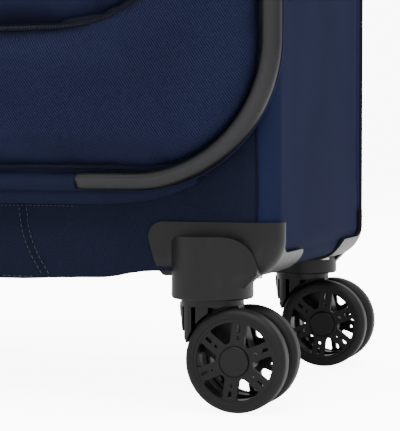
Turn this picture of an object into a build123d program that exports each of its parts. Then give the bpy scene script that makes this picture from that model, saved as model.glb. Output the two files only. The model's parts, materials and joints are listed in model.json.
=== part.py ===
from build123d import *
import math
import os

"""Soft-sided suitcase on four twin-wheel casters, in millimetres.

+X is the right-hand side seen from the front, +Y points to the back and +Z up. The origin is on the floor,
in the middle of the overall box. The lid is closed, the pull-out handle is in, and the casters trail outwards.
"""

# ---------------------------------------------------------------- driving dimensions
WHEEL_R = 30.0            # tyre radius
WHEEL_W = 13.0            # width of one wheel of a pair
WHEEL_GAP = 13.0          # gap between the two wheels of a pair
TRAIL = 19.0              # swivel axis to axle, seen from above
CASTER_X = 172.0          # swivel axes, either side of the middle
CASTER_FRONT_Y = -100.7
CASTER_REAR_Y = 105.3
CUP_R = 24.0              # swivel housing
CUP_Z0 = 64.5             # its lower rim
CUP_Z1 = 101.0            # its top, where it runs into the plate
PLASTIC = 2.5             # thickness of the moulded housings

BODY_HALF_W = 213.0       # fabric body
BODY_Z0 = 79.0
BODY_Z1 = 648.0
BODY_OVERHANG = 7.0       # body faces stand this far outside the swivel axes
CORNER_R_LOW = 20.0
CORNER_R_TOP = 62.0
EDGE_R = 10.0             # rounding of the front and back edges
WALL = 4.0                # fabric, foam and board together
RIM_W = 13.0              # rim left round the front and back openings

GUARD_HALF_W = 212.7      # middle line of the edge guard round the lid
GUARD_Z0 = 132.5
GUARD_Z1 = 641.0
GUARD_R_LOW = 82.0
GUARD_R_TOP = 58.0
GUARD_HALF = 5.5
GUARD_DEPTH = 10.5
GUARD_END_X = 94.0        # the guards stop this far from the middle
HINGE_Z = 121.0           # the lid folds down about this line
ZIP_GAP = 2.6             # between lid and body, filled by the two halves of the zip
LID_T = 3.0
LOWER_POCKET_T = 16.0
UPPER_POCKET_T = 14.0

TUBE_X = 64.0             # pull-out handle
TUBE_Y = 88.0
STAGE_TRAVEL = 190.0
GRIP_Z0 = 640.5
GRIP_Z1 = 662.0

LOCK_Z = 400.0            # combination lock on the right side
LOCK_Y = -74.0

# ---------------------------------------------------------------- worked out
BODY_FRONT = CASTER_FRONT_Y - BODY_OVERHANG
BODY_BACK = CASTER_REAR_Y + BODY_OVERHANG
MID_Y = (CASTER_FRONT_Y + CASTER_REAR_Y) / 2
HALF_PAIR = (WHEEL_GAP + WHEEL_W) / 2
LID_BACK = BODY_FRONT - ZIP_GAP
LID_FRONT = LID_BACK - LID_T
POCKET_FRONT = LID_FRONT - LOWER_POCKET_T
LINING_BACK = TUBE_Y - 14.0
CORNERS = {
    "front_right": (1, CASTER_FRONT_Y),
    "front_left": (-1, CASTER_FRONT_Y),
    "rear_right": (1, CASTER_REAR_Y),
    "rear_left": (-1, CASTER_REAR_Y),
}
SCREWS = [(-24.0, 24.0), (20.5, 20.5), (0.0, 46.0)]   # from the swivel axis, inwards from the corner


# ---------------------------------------------------------------- helpers
def save(name, *solids):
    """Writes one node; several solids make a group."""
    shape = solids[0] if len(solids) == 1 else Compound(children=[*solids])
    export_step(shape, f"parts/{name}.step")


def along_y(face, y0, y1):
    """Extrudes a face drawn with X across and Z up from y0 to y1."""
    return extrude(Plane((0, y1, 0), x_dir=(1, 0, 0), z_dir=(0, -1, 0)) * face, y1 - y0, dir=(0, -1, 0))


def along_x(face, x0, x1):
    """Extrudes a face drawn with Y across and Z up from x0 to x1."""
    return extrude(Plane((x0, 0, 0), x_dir=(0, 1, 0), z_dir=(1, 0, 0)) * face, x1 - x0, dir=(1, 0, 0))


def along_z(face, z0, z1):
    """Extrudes a face drawn in X and Y from z0 to z1."""
    return extrude(Pos(0, 0, z0) * face, z1 - z0, dir=(0, 0, 1))


def block(x0, x1, y0, y1, z0, z1):
    """A box from its two corners."""
    return Pos((x0 + x1) / 2, (y0 + y1) / 2, (z0 + z1) / 2) * Box(x1 - x0, y1 - y0, z1 - z0)


def near(shape, point, count=1):
    """The vertices of a flat face nearest to a point."""
    return shape.vertices().sort_by_distance((point[0], point[1], 0))[:count]


def panel(x0, x1, z0, z1, r_low, r_top):
    """A panel outline with its own radius at the low and at the top corners."""
    face = Pos((x0 + x1) / 2, (z0 + z1) / 2) * Rectangle(x1 - x0, z1 - z0)
    face = fillet(face.vertices().sort_by(Axis.Y)[:2], r_low)
    return fillet(face.vertices().sort_by(Axis.Y)[-2:], r_top)


def body_outline(grow=0.0):
    half = BODY_HALF_W + grow
    return panel(-half, half, BODY_Z0 - grow, BODY_Z1 + grow, CORNER_R_LOW + grow, CORNER_R_TOP + grow)


def lid_outline(grow=0.0):
    """The closed middle line of the guard, grown outwards."""
    half = GUARD_HALF_W + grow
    return panel(-half, half, GUARD_Z0 - grow, GUARD_Z1 + grow, GUARD_R_LOW + grow, GUARD_R_TOP + grow)


def upper_outline(grow=0.0):
    return panel(-181 - grow, 181 + grow, 224.5 - grow, 600 + grow, 100 + grow, 50 + grow)


def edges_at_y(solid, y):
    return solid.edges().filter_by_position(Axis.Y, y - 0.01, y + 0.01)


def body_block(grow=0.0):
    """The outside of the body as one solid, grown outwards."""
    solid = along_y(body_outline(grow), BODY_FRONT - grow, BODY_BACK + grow)
    rounded = edges_at_y(solid, BODY_FRONT - grow) + edges_at_y(solid, BODY_BACK + grow)
    return fillet(rounded, EDGE_R + grow)


# ---------------------------------------------------------------- casters
def wheel_window():
    """One of the six openings between the spokes, in the gap that points along +X."""
    spoke_half, rim_r, reach = 4.2, 22.5, 34.0
    tip = spoke_half / math.sin(math.radians(30))
    slope = math.tan(math.radians(30))
    wedge = Polygon((tip, 0), (tip + reach, reach * slope), (tip + reach, -reach * slope), align=None)
    wedge = wedge & Circle(rim_r)
    wedge = fillet(near(wedge, (tip, 0)), 2.4)
    rim_corners = [v for v in wedge.vertices() if abs(math.hypot(v.X, v.Y) - rim_r) < 0.05]
    return fillet(rim_corners, 1.1)


def make_hub():
    """Hub of one wheel about the Y axis, its spokes towards -Y, and its domed cap."""
    face_y, plate_t, rim_r, boss_r = -5.6, 3.0, 24.5, 7.0
    outline = Circle(rim_r)
    window = wheel_window()
    for k in range(6):
        outline -= Rot(0, 0, 60 * k) * window
        outline -= Rot(0, 0, 60 * k + 30) * Pos(13.7) * Circle(1.05)
        outline -= Rot(0, 0, 60 * k + 30) * Pos(19.3) * SlotOverall(4.6, 2.0)
    plate = along_y(outline, face_y, face_y + plate_t)
    rim = along_y(Circle(rim_r) - Circle(22.9), face_y - 0.4, 5.6)
    boss = along_y(Circle(boss_r), face_y + plate_t - 0.5, 6.3)
    hub = plate + rim + boss - along_y(Circle(3.05), -4.7, 6.4)
    groove = along_y(Circle(9.2) - Circle(8.7), face_y - 0.1, face_y + 0.6)
    dome = along_y(Circle(8.6), face_y - 1.3, face_y)
    dome = fillet(edges_at_y(dome, face_y - 1.3), 1.1)
    return Rot(0, 8, 0) * (hub - groove), dome


def make_tyre():
    """Soft tyre about the Y axis."""
    section = Pos(27.25, 0) * Rectangle(5.5, WHEEL_W)
    section = fillet([v for v in section.vertices() if v.X > 28], 4.0)
    section = fillet([v for v in section.vertices() if v.X < 24.6], 0.6)
    return revolve(section, Axis.Y)


def make_fork():
    """Fork about its swivel axis, with the axle at +TRAIL, and the axle pin."""
    disc_r, disc_z0, disc_z1 = 18.5, 61.0, 67.6
    outline = [
        Line((disc_r - 1.5, disc_z0 + 1), (-disc_r + 0.2, disc_z0 + 1)),
        ThreePointArc((-disc_r + 0.2, disc_z0 + 1), (-16.6, 49.0), (-8.8, 36.0)),
        Line((-8.8, 36.0), (14.0, 22.4)),
        Line((14.0, 22.4), (26.0, 30.0)),
        Line((26.0, 30.0), (disc_r - 1.5, disc_z0 + 1)),
    ]
    side = make_face(outline)
    web = along_y(side, -5.5, 5.5)
    cheeks = along_y(side - Pos(TRAIL, WHEEL_R) * Circle(WHEEL_R + 1.8), -15.0, 15.0)
    cheeks &= Pos(0, 0, 45) * Cylinder(disc_r - 0.3, 40)
    for x0, x1 in ((-15.2, -13.4), (-8.2, -5.6), (2.0, 6.6)):
        for y0, y1 in ((-16, -6.5), (6.5, 16)):
            cheeks -= block(x0, x1, y0, y1, 30, disc_z0 - 1.0)
    disc = Pos(0, 0, (disc_z0 + disc_z1) / 2) * Cylinder(disc_r, disc_z1 - disc_z0)
    boss = Pos(TRAIL, 0, WHEEL_R) * Rot(90, 0, 0) * Cylinder(8.0, 12.6)
    fork = web + cheeks + disc + boss
    fork -= Pos(TRAIL, 0, WHEEL_R) * Rot(90, 0, 0) * Cylinder(3.0, 20)
    fork -= Pos(0, 0, 61) * Cylinder(4.05, 18)
    axle = Pos(TRAIL, 0, WHEEL_R) * Rot(90, 0, 0) * Cylinder(3.0, 2 * HALF_PAIR + 9.0)
    return fork, axle


def make_housing(body):
    """Corner housing of the front right caster: a skin over the body's corner with the swivel cup."""
    x, y = CASTER_X, CASTER_FRONT_Y
    front = Polygon((x - 30, 60), (x - 30.5, 78), (x - 39.5, 109), (x + 60, 109), (x + 60, 60), align=None)
    front = fillet(near(front, (x - 39.5, 109)), 9.0)
    front_plate = along_y(front, y - 20, y + 3)
    tab_y1 = y + 53
    side = Polygon(
        (y - 20, 60), (y - 20, 109), (y - 6, 109), (y + 2.5, 91), (tab_y1, 91), (tab_y1, 60), align=None
    )
    side = fillet(near(side, (y + 2.5, 91)), 16.0)
    side = fillet(near(side, (tab_y1, 91)), 7.0)
    side_tab = along_x(side, x + 20, x + 60)
    under_plate = along_z(Pos(x + 12, y + 16) * RectangleRounded(84, 76, 12), 60, 80)
    skin = (body_block(PLASTIC) - body) & (front_plate + side_tab + under_plate)
    # the cup is round in front and widens to the right where it runs into the plate
    plate_y = -BODY_OVERHANG - PLASTIC
    wide = Polygon((16.0, -17.9), (29.7, plate_y), (29.7, 0), (0, 0), align=None)
    narrow = Polygon((16.0, -17.8), (20.5, plate_y), (20.5, 0), (0, 0), align=None)
    flare = loft([Pos(0, 0, 69.5) * narrow, Pos(0, 0, 79) * wide]) + along_z(wide, 79, 110)
    cup = Pos(0, 0, 90) * Cylinder(CUP_R, 60) + flare
    arch = Pos((29.7 - CUP_R) / 2, (CUP_Z0 + CUP_Z1) / 2) * Rectangle(29.7 + CUP_R, CUP_Z1 - CUP_Z0)
    arch = fillet(near(arch, (-CUP_R, CUP_Z1)), 10.0)
    arch = fillet(near(arch, (29.7, CUP_Z1)), 19.0)
    cup = cup & along_y(arch, -40, 40)
    rim = cup.edges().filter_by_position(Axis.Z, CUP_Z0 - 0.01, CUP_Z0 + 0.01)
    cup = fillet(rim, 1.4)
    housing = skin + (Pos(x, y, 0) * cup - body)
    housing -= Pos(x, y, CUP_Z0) * Cylinder(19.3, 7.0)
    housing -= Pos(x, y, 70) * Cylinder(4.0, 15.4)
    for dx, dy in SCREWS:
        housing -= Pos(x + dx, y + dy, 78) * Cylinder(2.0, 6)
    return housing


def screws_for(side, y):
    """Screws of one housing, with round heads below the plate."""
    depth = 1 if y < 0 else -1
    screws = []
    for dx, dy in SCREWS:
        shank = Pos(0, 0, 80.6) * Cylinder(2.0, 8.2)
        head = Pos(0, 0, 75.6) * Cylinder(3.8, 1.8)
        head = fillet(head.edges().filter_by_position(Axis.Z, 74.69, 74.71), 0.8)
        screws.append(Pos(side * (CASTER_X + dx), y + depth * dy, 0) * (shank + head))
    return screws


def build_casters(body):
    fork, axle = make_fork()
    hub, cap = make_hub()
    tyre = make_tyre()
    housing = make_housing(body)
    back_plane = Plane((0, MID_Y, 0), x_dir=(1, 0, 0), z_dir=(0, 1, 0))
    pins = []
    for name, (side, y) in CORNERS.items():
        shell = housing if side > 0 else mirror(housing, Plane.YZ)
        shell = shell if y < 0 else mirror(shell, back_plane)
        save(f"housing_{name}", shell)
        place = Pos(side * CASTER_X, y, 0) * Rot(0, 0, 0 if side > 0 else 180)
        save(f"fork_{name}", place * fork, place * axle)
        for label, turn in (("a", 0), ("b", 180)):
            wheel = place * Pos(TRAIL, 0, WHEEL_R) * Rot(0, 0, turn) * Pos(0, -HALF_PAIR, 0)
            save(f"hub_{name}_{label}", wheel * hub, wheel * cap)
            save(f"tyre_{name}_{label}", wheel * tyre)
        pins.append(Pos(side * CASTER_X, y, 65.2) * Cylinder(4.0, 24.0))
    save("swivel_pins", *pins)


# ---------------------------------------------------------------- carry handles
LEG_X, LEG_W, LEG_D = 97.0, 14.0, 24.0
HANDLE_LIFT = 14.5


def make_handle(rise, thick):
    """A strap handle on the plane z = 0, along X; its legs slide in the sockets."""
    span = LEG_X + LEG_W / 2
    low = ThreePointArc((-span, 5.0), (0, rise), (span, 5.0))
    high = ThreePointArc((-span, 5.0 + thick), (0, rise + thick), (span, 5.0 + thick))
    face = make_face([low, Line(low @ 1, high @ 1), high, Line(high @ 0, low @ 0)])
    bar = along_y(face, -15, 15)
    ends = [e for e in bar.edges().filter_by(Axis.Y) if e.center().Z > 5.1]
    bar = fillet(ends, min(2.0, thick / 3))
    for side in (-1, 1):
        bar += block(side * LEG_X - LEG_W / 2, side * LEG_X + LEG_W / 2, -LEG_D / 2, LEG_D / 2, -15, 6)
        bar += block(side * LEG_X - 10, side * LEG_X + 10, -15, 15, -18, -15)
    return bar


def make_sockets():
    """The two sockets of a handle on the plane z = 0."""
    sockets = []
    for side in (-1, 1):
        plate = along_z(Pos(side * LEG_X, 0) * RectangleRounded(44, 46, 10), 0, 3.6)
        plate = fillet(plate.edges().filter_by_position(Axis.Z, 3.59, 3.61), 1.2)
        sleeve = block(side * LEG_X - 14, side * LEG_X + 14, -19, 19, -WALL, 0)
        hole = block(side * LEG_X - 10.5, side * LEG_X + 10.5, -15.5, 15.5, -WALL - 1, -0.0)
        slot = block(side * LEG_X - 7.5, side * LEG_X + 7.5, -12.5, 12.5, -1, 5)
        sockets.append(plate + sleeve - hole - slot)
    return sockets


def socket_cut():
    return [block(s * LEG_X - 14, s * LEG_X + 14, -19, 19, -WALL - 1, 1) for s in (-1, 1)]


TOP_PLACE = Pos(0, -12, BODY_Z1)
SIDE_PLACE = Pos(-BODY_HALF_W, 0, 370) * Rot(0, -90, 0)


def build_handles():
    save("top_handle", TOP_PLACE * make_handle(13.0, 6.0))
    save("side_handle", SIDE_PLACE * make_handle(7.2, 4.4))
    save("handle_sockets", *[p * s for p in (TOP_PLACE, SIDE_PLACE) for s in make_sockets()])


# ---------------------------------------------------------------- pull-out handle
def tube(radius, wall, z0, z1):
    middle, length = (z0 + z1) / 2, z1 - z0
    pipe = Cylinder(radius, length) - Cylinder(radius - wall, length + 2)
    return [Pos(s * TUBE_X, TUBE_Y, middle) * pipe for s in (-1, 1)]


def build_trolley():
    save("outer_tubes", *tube(10.0, 1.2, 88, 636))
    save("middle_tubes", *tube(8.75, 1.2, 196, 639.5))
    save("inner_tubes", *tube(7.5, 1.2, 202, 655))
    feet = []
    for s in (-1, 1):
        foot = block(s * TUBE_X - 15, s * TUBE_X + 15, LINING_BACK + 0.5, BODY_BACK - WALL, 85.5, 112)
        feet.append(foot - Pos(s * TUBE_X, TUBE_Y, 104) * Cylinder(10.0, 32))
    save("tube_sockets", *feet)
    lip = along_z(Pos(0, TUBE_Y) * RectangleRounded(182, 35, 12), BODY_Z1, BODY_Z1 + 2.6)
    lip = fillet(lip.edges().filter_by_position(Axis.Z, BODY_Z1 + 2.59, BODY_Z1 + 2.61), 1.0)
    tray = along_z(Pos(0, TUBE_Y) * RectangleRounded(166, 29, 9), 630, BODY_Z1)
    well = along_z(Pos(0, TUBE_Y) * RectangleRounded(158, 24.6, 7), 640, BODY_Z1 + 5)
    bezel = lip + tray - well
    for s in (-1, 1):
        bezel -= Pos(s * TUBE_X, TUBE_Y, 632) * Cylinder(10.0, 8)
        bezel -= Pos(s * TUBE_X, TUBE_Y, 638) * Cylinder(9.05, 12)
    save("trolley_bezel", bezel)
    grip = along_z(Pos(0, TUBE_Y) * RectangleRounded(154, 20, 8), GRIP_Z0, GRIP_Z1)
    grip = fillet(grip.edges().filter_by_position(Axis.Z, GRIP_Z1 - 0.01, GRIP_Z1 + 0.01), 5.0)
    grip -= block(-17, 17, TUBE_Y - 6, TUBE_Y + 6, 652, 670)
    for s in (-1, 1):
        grip -= Pos(s * TUBE_X, TUBE_Y, 645) * Cylinder(7.5, 20)
    save("grip", grip)
    button = along_z(Pos(0, TUBE_Y) * RectangleRounded(33, 11, 2), 655.5, GRIP_Z1 + 0.6)
    button = fillet(button.edges().filter_by_position(Axis.Z, GRIP_Z1 + 0.59, GRIP_Z1 + 0.61), 0.8)
    save("grip_button", button)


# ---------------------------------------------------------------- lock
def build_lock():
    x0, x1 = BODY_HALF_W - WALL, BODY_HALF_W + 6.5
    plate = along_x(Pos(LOCK_Y, LOCK_Z) * RectangleRounded(30, 62, 6), BODY_HALF_W, x1)
    plate = fillet(plate.edges().filter_by_position(Axis.X, x1 - 0.01, x1 + 0.01), 1.5)
    body = plate + block(x0, BODY_HALF_W, LOCK_Y - 10, LOCK_Y + 10, LOCK_Z - 25, LOCK_Z + 25)
    axis_x = BODY_HALF_W + 2.8
    dials = []
    for k in range(3):
        z = LOCK_Z + 2 + 8.0 * k
        body -= block(axis_x - 5.9, x1 + 1, LOCK_Y - 6.0, LOCK_Y + 6.0, z - 2.9, z + 2.9)
        dial = Cylinder(5.4, 5.0) - Cylinder(1.25, 6)
        for n in range(10):
            dial -= Rot(0, 0, 36 * n) * Pos(5.75, 0) * Cylinder(0.75, 6)
        dials.append(Pos(axis_x, LOCK_Y, z) * dial)
    spindle = Pos(axis_x, LOCK_Y, LOCK_Z + 10) * Cylinder(1.2, 28)
    body -= Pos(axis_x, LOCK_Y, LOCK_Z + 10) * Cylinder(1.2, 28)
    z = LOCK_Z - 13
    body -= block(x1 - 4, x1 + 1, LOCK_Y - 5, LOCK_Y + 5, z - 7, z + 7)
    for dz in (-20, 24):
        body -= block(BODY_HALF_W - 1, BODY_HALF_W + 3, LOCK_Y - 16, LOCK_Y - 8, LOCK_Z + dz - 3, LOCK_Z + dz + 3)
    save("lock_body", body, spindle)
    for k, dial in enumerate(dials):
        save(f"lock_dial_{k + 1}", dial)
    button = block(x1 - 3.5, x1 + 1.2, LOCK_Y - 4.5, LOCK_Y + 4.5, z - 3, z + 6.5)
    save("lock_button", fillet(button.edges().filter_by_position(Axis.X, x1 + 1.19, x1 + 1.21), 0.8))


# ---------------------------------------------------------------- soft body
def build_body(body):
    inner = along_y(body_outline(-WALL), BODY_FRONT + WALL, BODY_BACK - WALL)
    opening = body_outline(-RIM_W)
    shell = body - inner
    shell -= along_y(opening, BODY_FRONT - 1, BODY_FRONT + WALL + 1)
    shell -= along_y(opening, BODY_BACK - WALL - 1, BODY_BACK + 1)
    cuts = [p * c for p in (TOP_PLACE, SIDE_PLACE) for c in socket_cut()]
    cuts.append(along_z(Pos(0, TUBE_Y) * RectangleRounded(166, 29, 9), 620, BODY_Z1 + 1))
    cuts.append(block(BODY_HALF_W - WALL - 1, BODY_HALF_W + 1, LOCK_Y - 10, LOCK_Y + 10, LOCK_Z - 25, LOCK_Z + 25))
    tray = along_z(Pos(0, MID_Y) * RectangleRounded(380, 2 * (BODY_BACK - WALL - MID_Y) - 1, 8), 83, 85.5)
    screws = []
    for side, y in CORNERS.values():
        screws += screws_for(side, y)
        for dx, dy in SCREWS:
            depth = 1 if y < 0 else -1
            drill = Pos(side * (CASTER_X + dx), y + depth * dy, 80) * Cylinder(2.0, 12)
            cuts.append(drill)
            tray -= drill
    rope_r = 3.5
    rope_path = Plane((0, BODY_BACK - 3.2, 0), x_dir=(1, 0, 0), z_dir=(0, -1, 0)) * body_outline(-2.6)
    rope_wire = rope_path.face().outer_wire()
    profile = Plane(origin=rope_wire @ 0, z_dir=rope_wire % 0) * Circle(rope_r)
    rope = sweep(profile, path=rope_wire, transition=Transition.ROUND)
    rope -= block(-300, 300, 0, 200, 0, 112)
    cuts.append(rope)
    for cut in cuts:
        shell -= cut
    save("body_shell", shell)
    save("body_piping", rope)
    save("housing_screws", *screws)
    save("base_tray", tray)
    save("back_panel", along_y(opening, BODY_BACK - WALL, BODY_BACK))
    low = opening & Polygon((-300, 0), (-300, 190), (300, 190), (300, 0), align=None)
    save("lower_front_panel", along_y(low - lid_outline(-12), BODY_FRONT, BODY_FRONT + WALL))
    lining_out = panel(-207.5, 207.5, 86, 626, 14, 44)
    lining_in = panel(-206.5, 206.5, 87, 625, 13, 43)
    lining = along_y(lining_out, BODY_FRONT + 9, LINING_BACK) - along_y(lining_in, BODY_FRONT, LINING_BACK - 1)
    for dz in (-LEG_X, LEG_X):
        lining -= SIDE_PLACE * block(dz - 12, dz + 12, -17, 17, -20, 0)
    save("lining", lining)
    wire_path = Plane((0, BODY_FRONT + 6.5, 0), x_dir=(1, 0, 0), z_dir=(0, -1, 0)) * panel(
        -206.5, 206.5, 88.0, 641.0, 14, 56
    )
    wire = wire_path.face().outer_wire()
    save("rim_wire", sweep(Plane(origin=wire @ 0, z_dir=wire % 0) * Circle(1.5), path=wire))
    straps = []
    for z in (250, 470):
        straps.append(block(-206, -24, LINING_BACK - 2.4, LINING_BACK - 1, z - 12.5, z + 12.5))
        straps.append(block(24, 206, LINING_BACK - 2.4, LINING_BACK - 1, z - 12.5, z + 12.5))
    save("packing_straps", *straps)
    buckles = []
    for z in (250, 470):
        buckle = block(-24, 24, LINING_BACK - 8, LINING_BACK - 1, z - 17, z + 17)
        buckles.append(fillet(edges_at_y(buckle, LINING_BACK - 8), 3))
    save("strap_buckles", *buckles)
    tape = along_y(lid_outline(-3) - lid_outline(-8.5), BODY_FRONT - 1.1, BODY_FRONT)
    tape -= block(-135, 135, BODY_FRONT - 5, BODY_FRONT + 5, 100, 180)
    pulls = []
    for dz in (-20, 24):
        z = LOCK_Z + dz
        pulls.append(block(213, 214.8, BODY_FRONT + 12, LOCK_Y - 8, z - 2.5, z + 2.5))
    save("main_zip", tape, *pulls)


# ---------------------------------------------------------------- lid
def channel_cuts():
    """Grooves that let the zip sliders run along the straight parts of the upper pocket's edge."""
    low = block(-80, 80, POCKET_FRONT - 1, POCKET_FRONT + 6, 217.8, 228.4)
    top = block(-131, 131, POCKET_FRONT - 1, POCKET_FRONT + 6, 596.2, 606.8)
    return [low, top]


def make_slider(z, x, hang_y):
    """Zip slider and its pull tab hanging in front of the cushion."""
    slider = block(x - 5, x + 5, POCKET_FRONT + 1.0, POCKET_FRONT + 5.4, z - 4, z + 4)
    stem = block(x - 4, x + 4, POCKET_FRONT + 5, LID_FRONT - 4.6, z - 0.8, z + 0.8)
    loop = block(x - 2, x + 2, hang_y - 1.7, POCKET_FRONT + 2, z - 2, z + 2)
    tab = along_y(Pos(x, z - 12) * RectangleRounded(8, 26, 3), hang_y - 1.9, hang_y - 0.5)
    tab -= along_y(Pos(x, z - 19) * SlotOverall(8, 3.4, rotation=90), hang_y - 5, hang_y + 5)
    return slider + stem + loop + tab


def build_lid():
    tongue = Pos(0, 150) * Rectangle(290, 55)
    plate = along_y(lid_outline(-1.0) + tongue, LID_FRONT, LID_BACK)
    save("lid_panel", plate)
    cuts = channel_cuts()
    lower = along_y(lid_outline(-GUARD_HALF - 1.2) - upper_outline(3.0), POCKET_FRONT, LID_FRONT)
    lower = fillet(edges_at_y(lower, POCKET_FRONT), 6.0)
    upper_front = LID_FRONT - UPPER_POCKET_T
    upper = along_y(upper_outline(), upper_front, LID_FRONT)
    upper = fillet(edges_at_y(upper, upper_front), 6.0)
    for cut in cuts:
        lower -= cut
        upper -= cut
    save("lower_pocket", lower)
    save("upper_pocket", upper)
    zip_ring = along_y(upper_outline(2.7) - upper_outline(0.3), LID_FRONT - 4, LID_FRONT)
    lid_tape = along_y(lid_outline(-3) - lid_outline(-8.5), LID_BACK, BODY_FRONT - 1.4)
    lid_tape -= block(-135, 135, BODY_FRONT - 5, BODY_FRONT + 5, 100, 180)
    save("lid_zips", zip_ring, lid_tape)
    flange = along_y(lid_outline(GUARD_HALF + 0.4) - lid_outline(-GUARD_HALF - 0.8), LID_FRONT - 1.2, LID_FRONT)
    for z in (GUARD_Z0, GUARD_Z1):
        rope = Pos(0, LID_FRONT - 5.6, z) * Rot(0, 90, 0) * Cylinder(4.5, 2 * GUARD_END_X)
        flange += rope
    save("lid_piping", flange)
    y1 = LID_FRONT - 1.2
    ring = along_y(lid_outline(GUARD_HALF) - lid_outline(-GUARD_HALF), y1 - GUARD_DEPTH, y1)
    ring = fillet(edges_at_y(ring, y1 - GUARD_DEPTH), 4.6)
    left = ring & block(-300, -GUARD_END_X, y1 - 20, y1 + 1, 0, 700)
    right = ring & block(GUARD_END_X, 300, y1 - 20, y1 + 1, 0, 700)
    save("guard_left", left)
    save("guard_right", right)
    save("lower_slider", make_slider(223.0, -72, POCKET_FRONT))
    save("upper_slider", make_slider(601.5, -124, upper_front))


os.makedirs("parts", exist_ok=True)
BODY = body_block()
build_casters(BODY)
build_handles()
build_trolley()
build_lock()
build_body(BODY)
build_lid()
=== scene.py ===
"""Looks of a soft-sided suitcase on four twin-wheel casters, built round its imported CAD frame, in metres."""

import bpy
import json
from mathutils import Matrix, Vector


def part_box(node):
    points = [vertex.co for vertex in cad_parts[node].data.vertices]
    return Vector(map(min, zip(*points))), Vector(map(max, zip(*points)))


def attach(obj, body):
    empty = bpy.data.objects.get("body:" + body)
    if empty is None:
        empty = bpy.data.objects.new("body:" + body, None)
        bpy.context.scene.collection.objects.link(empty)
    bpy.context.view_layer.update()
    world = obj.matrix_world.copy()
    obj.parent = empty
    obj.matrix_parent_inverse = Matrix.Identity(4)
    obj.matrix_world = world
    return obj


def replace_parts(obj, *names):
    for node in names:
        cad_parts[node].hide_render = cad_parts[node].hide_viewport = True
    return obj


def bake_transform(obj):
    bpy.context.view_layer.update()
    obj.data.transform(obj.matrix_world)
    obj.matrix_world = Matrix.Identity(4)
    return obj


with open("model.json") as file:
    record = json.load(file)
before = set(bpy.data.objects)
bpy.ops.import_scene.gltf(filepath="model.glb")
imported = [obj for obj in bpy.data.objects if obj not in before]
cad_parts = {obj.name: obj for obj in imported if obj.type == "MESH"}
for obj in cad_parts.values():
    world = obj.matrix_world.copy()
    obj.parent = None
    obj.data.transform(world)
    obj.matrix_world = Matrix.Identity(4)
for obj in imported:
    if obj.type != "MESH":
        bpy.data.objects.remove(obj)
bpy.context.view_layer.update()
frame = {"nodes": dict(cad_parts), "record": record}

import json
import logging
import math
from dataclasses import dataclass
from enum import Enum

import bmesh
import bpy
import numpy as np

log = logging.getLogger("suitcase")
Array = np.ndarray
Colour = tuple[float, float, float]
Point = tuple[float, float, float]
Pair = tuple[float, float]
Box = tuple[float, float, float, float]
MM = 0.001
TAU = 2.0 * math.pi


# ------------------------------------------------------------------ shader writing
class Sock:
    """A shader socket that can be used in Python sums; each operator adds one Math node."""

    def __init__(self, graph: "Graph", socket: bpy.types.NodeSocket) -> None:
        """Wraps an output socket of a graph."""
        self.graph = graph
        self.socket = socket

    def __add__(self, other: "Value") -> "Sock":
        """Sum."""
        return self.graph.math("ADD", self, other)

    def __sub__(self, other: "Value") -> "Sock":
        """Difference."""
        return self.graph.math("SUBTRACT", self, other)

    def __rsub__(self, other: "Value") -> "Sock":
        """Difference, from a number."""
        return self.graph.math("SUBTRACT", other, self)

    def __mul__(self, other: "Value") -> "Sock":
        """Product."""
        return self.graph.math("MULTIPLY", self, other)

    def __truediv__(self, other: "Value") -> "Sock":
        """Quotient."""
        return self.graph.math("DIVIDE", self, other)

    __radd__ = __add__
    __rmul__ = __mul__

    def sin(self) -> "Sock":
        """Sine, in radians."""
        return self.graph.math("SINE", self)

    def clamp(self) -> "Sock":
        """Held between 0 and 1."""
        return self.graph.node("ShaderNodeClamp", {}, {"Value": self})

    def ramp(self, low: float, high: float) -> "Sock":
        """0 below low, 1 above high, smooth between."""
        settings = {"interpolation_type": "SMOOTHSTEP"}
        limits = {"Value": self, "From Min": low, "From Max": high}
        return self.graph.node("ShaderNodeMapRange", settings, limits)


Value = Sock | float | int


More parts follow.
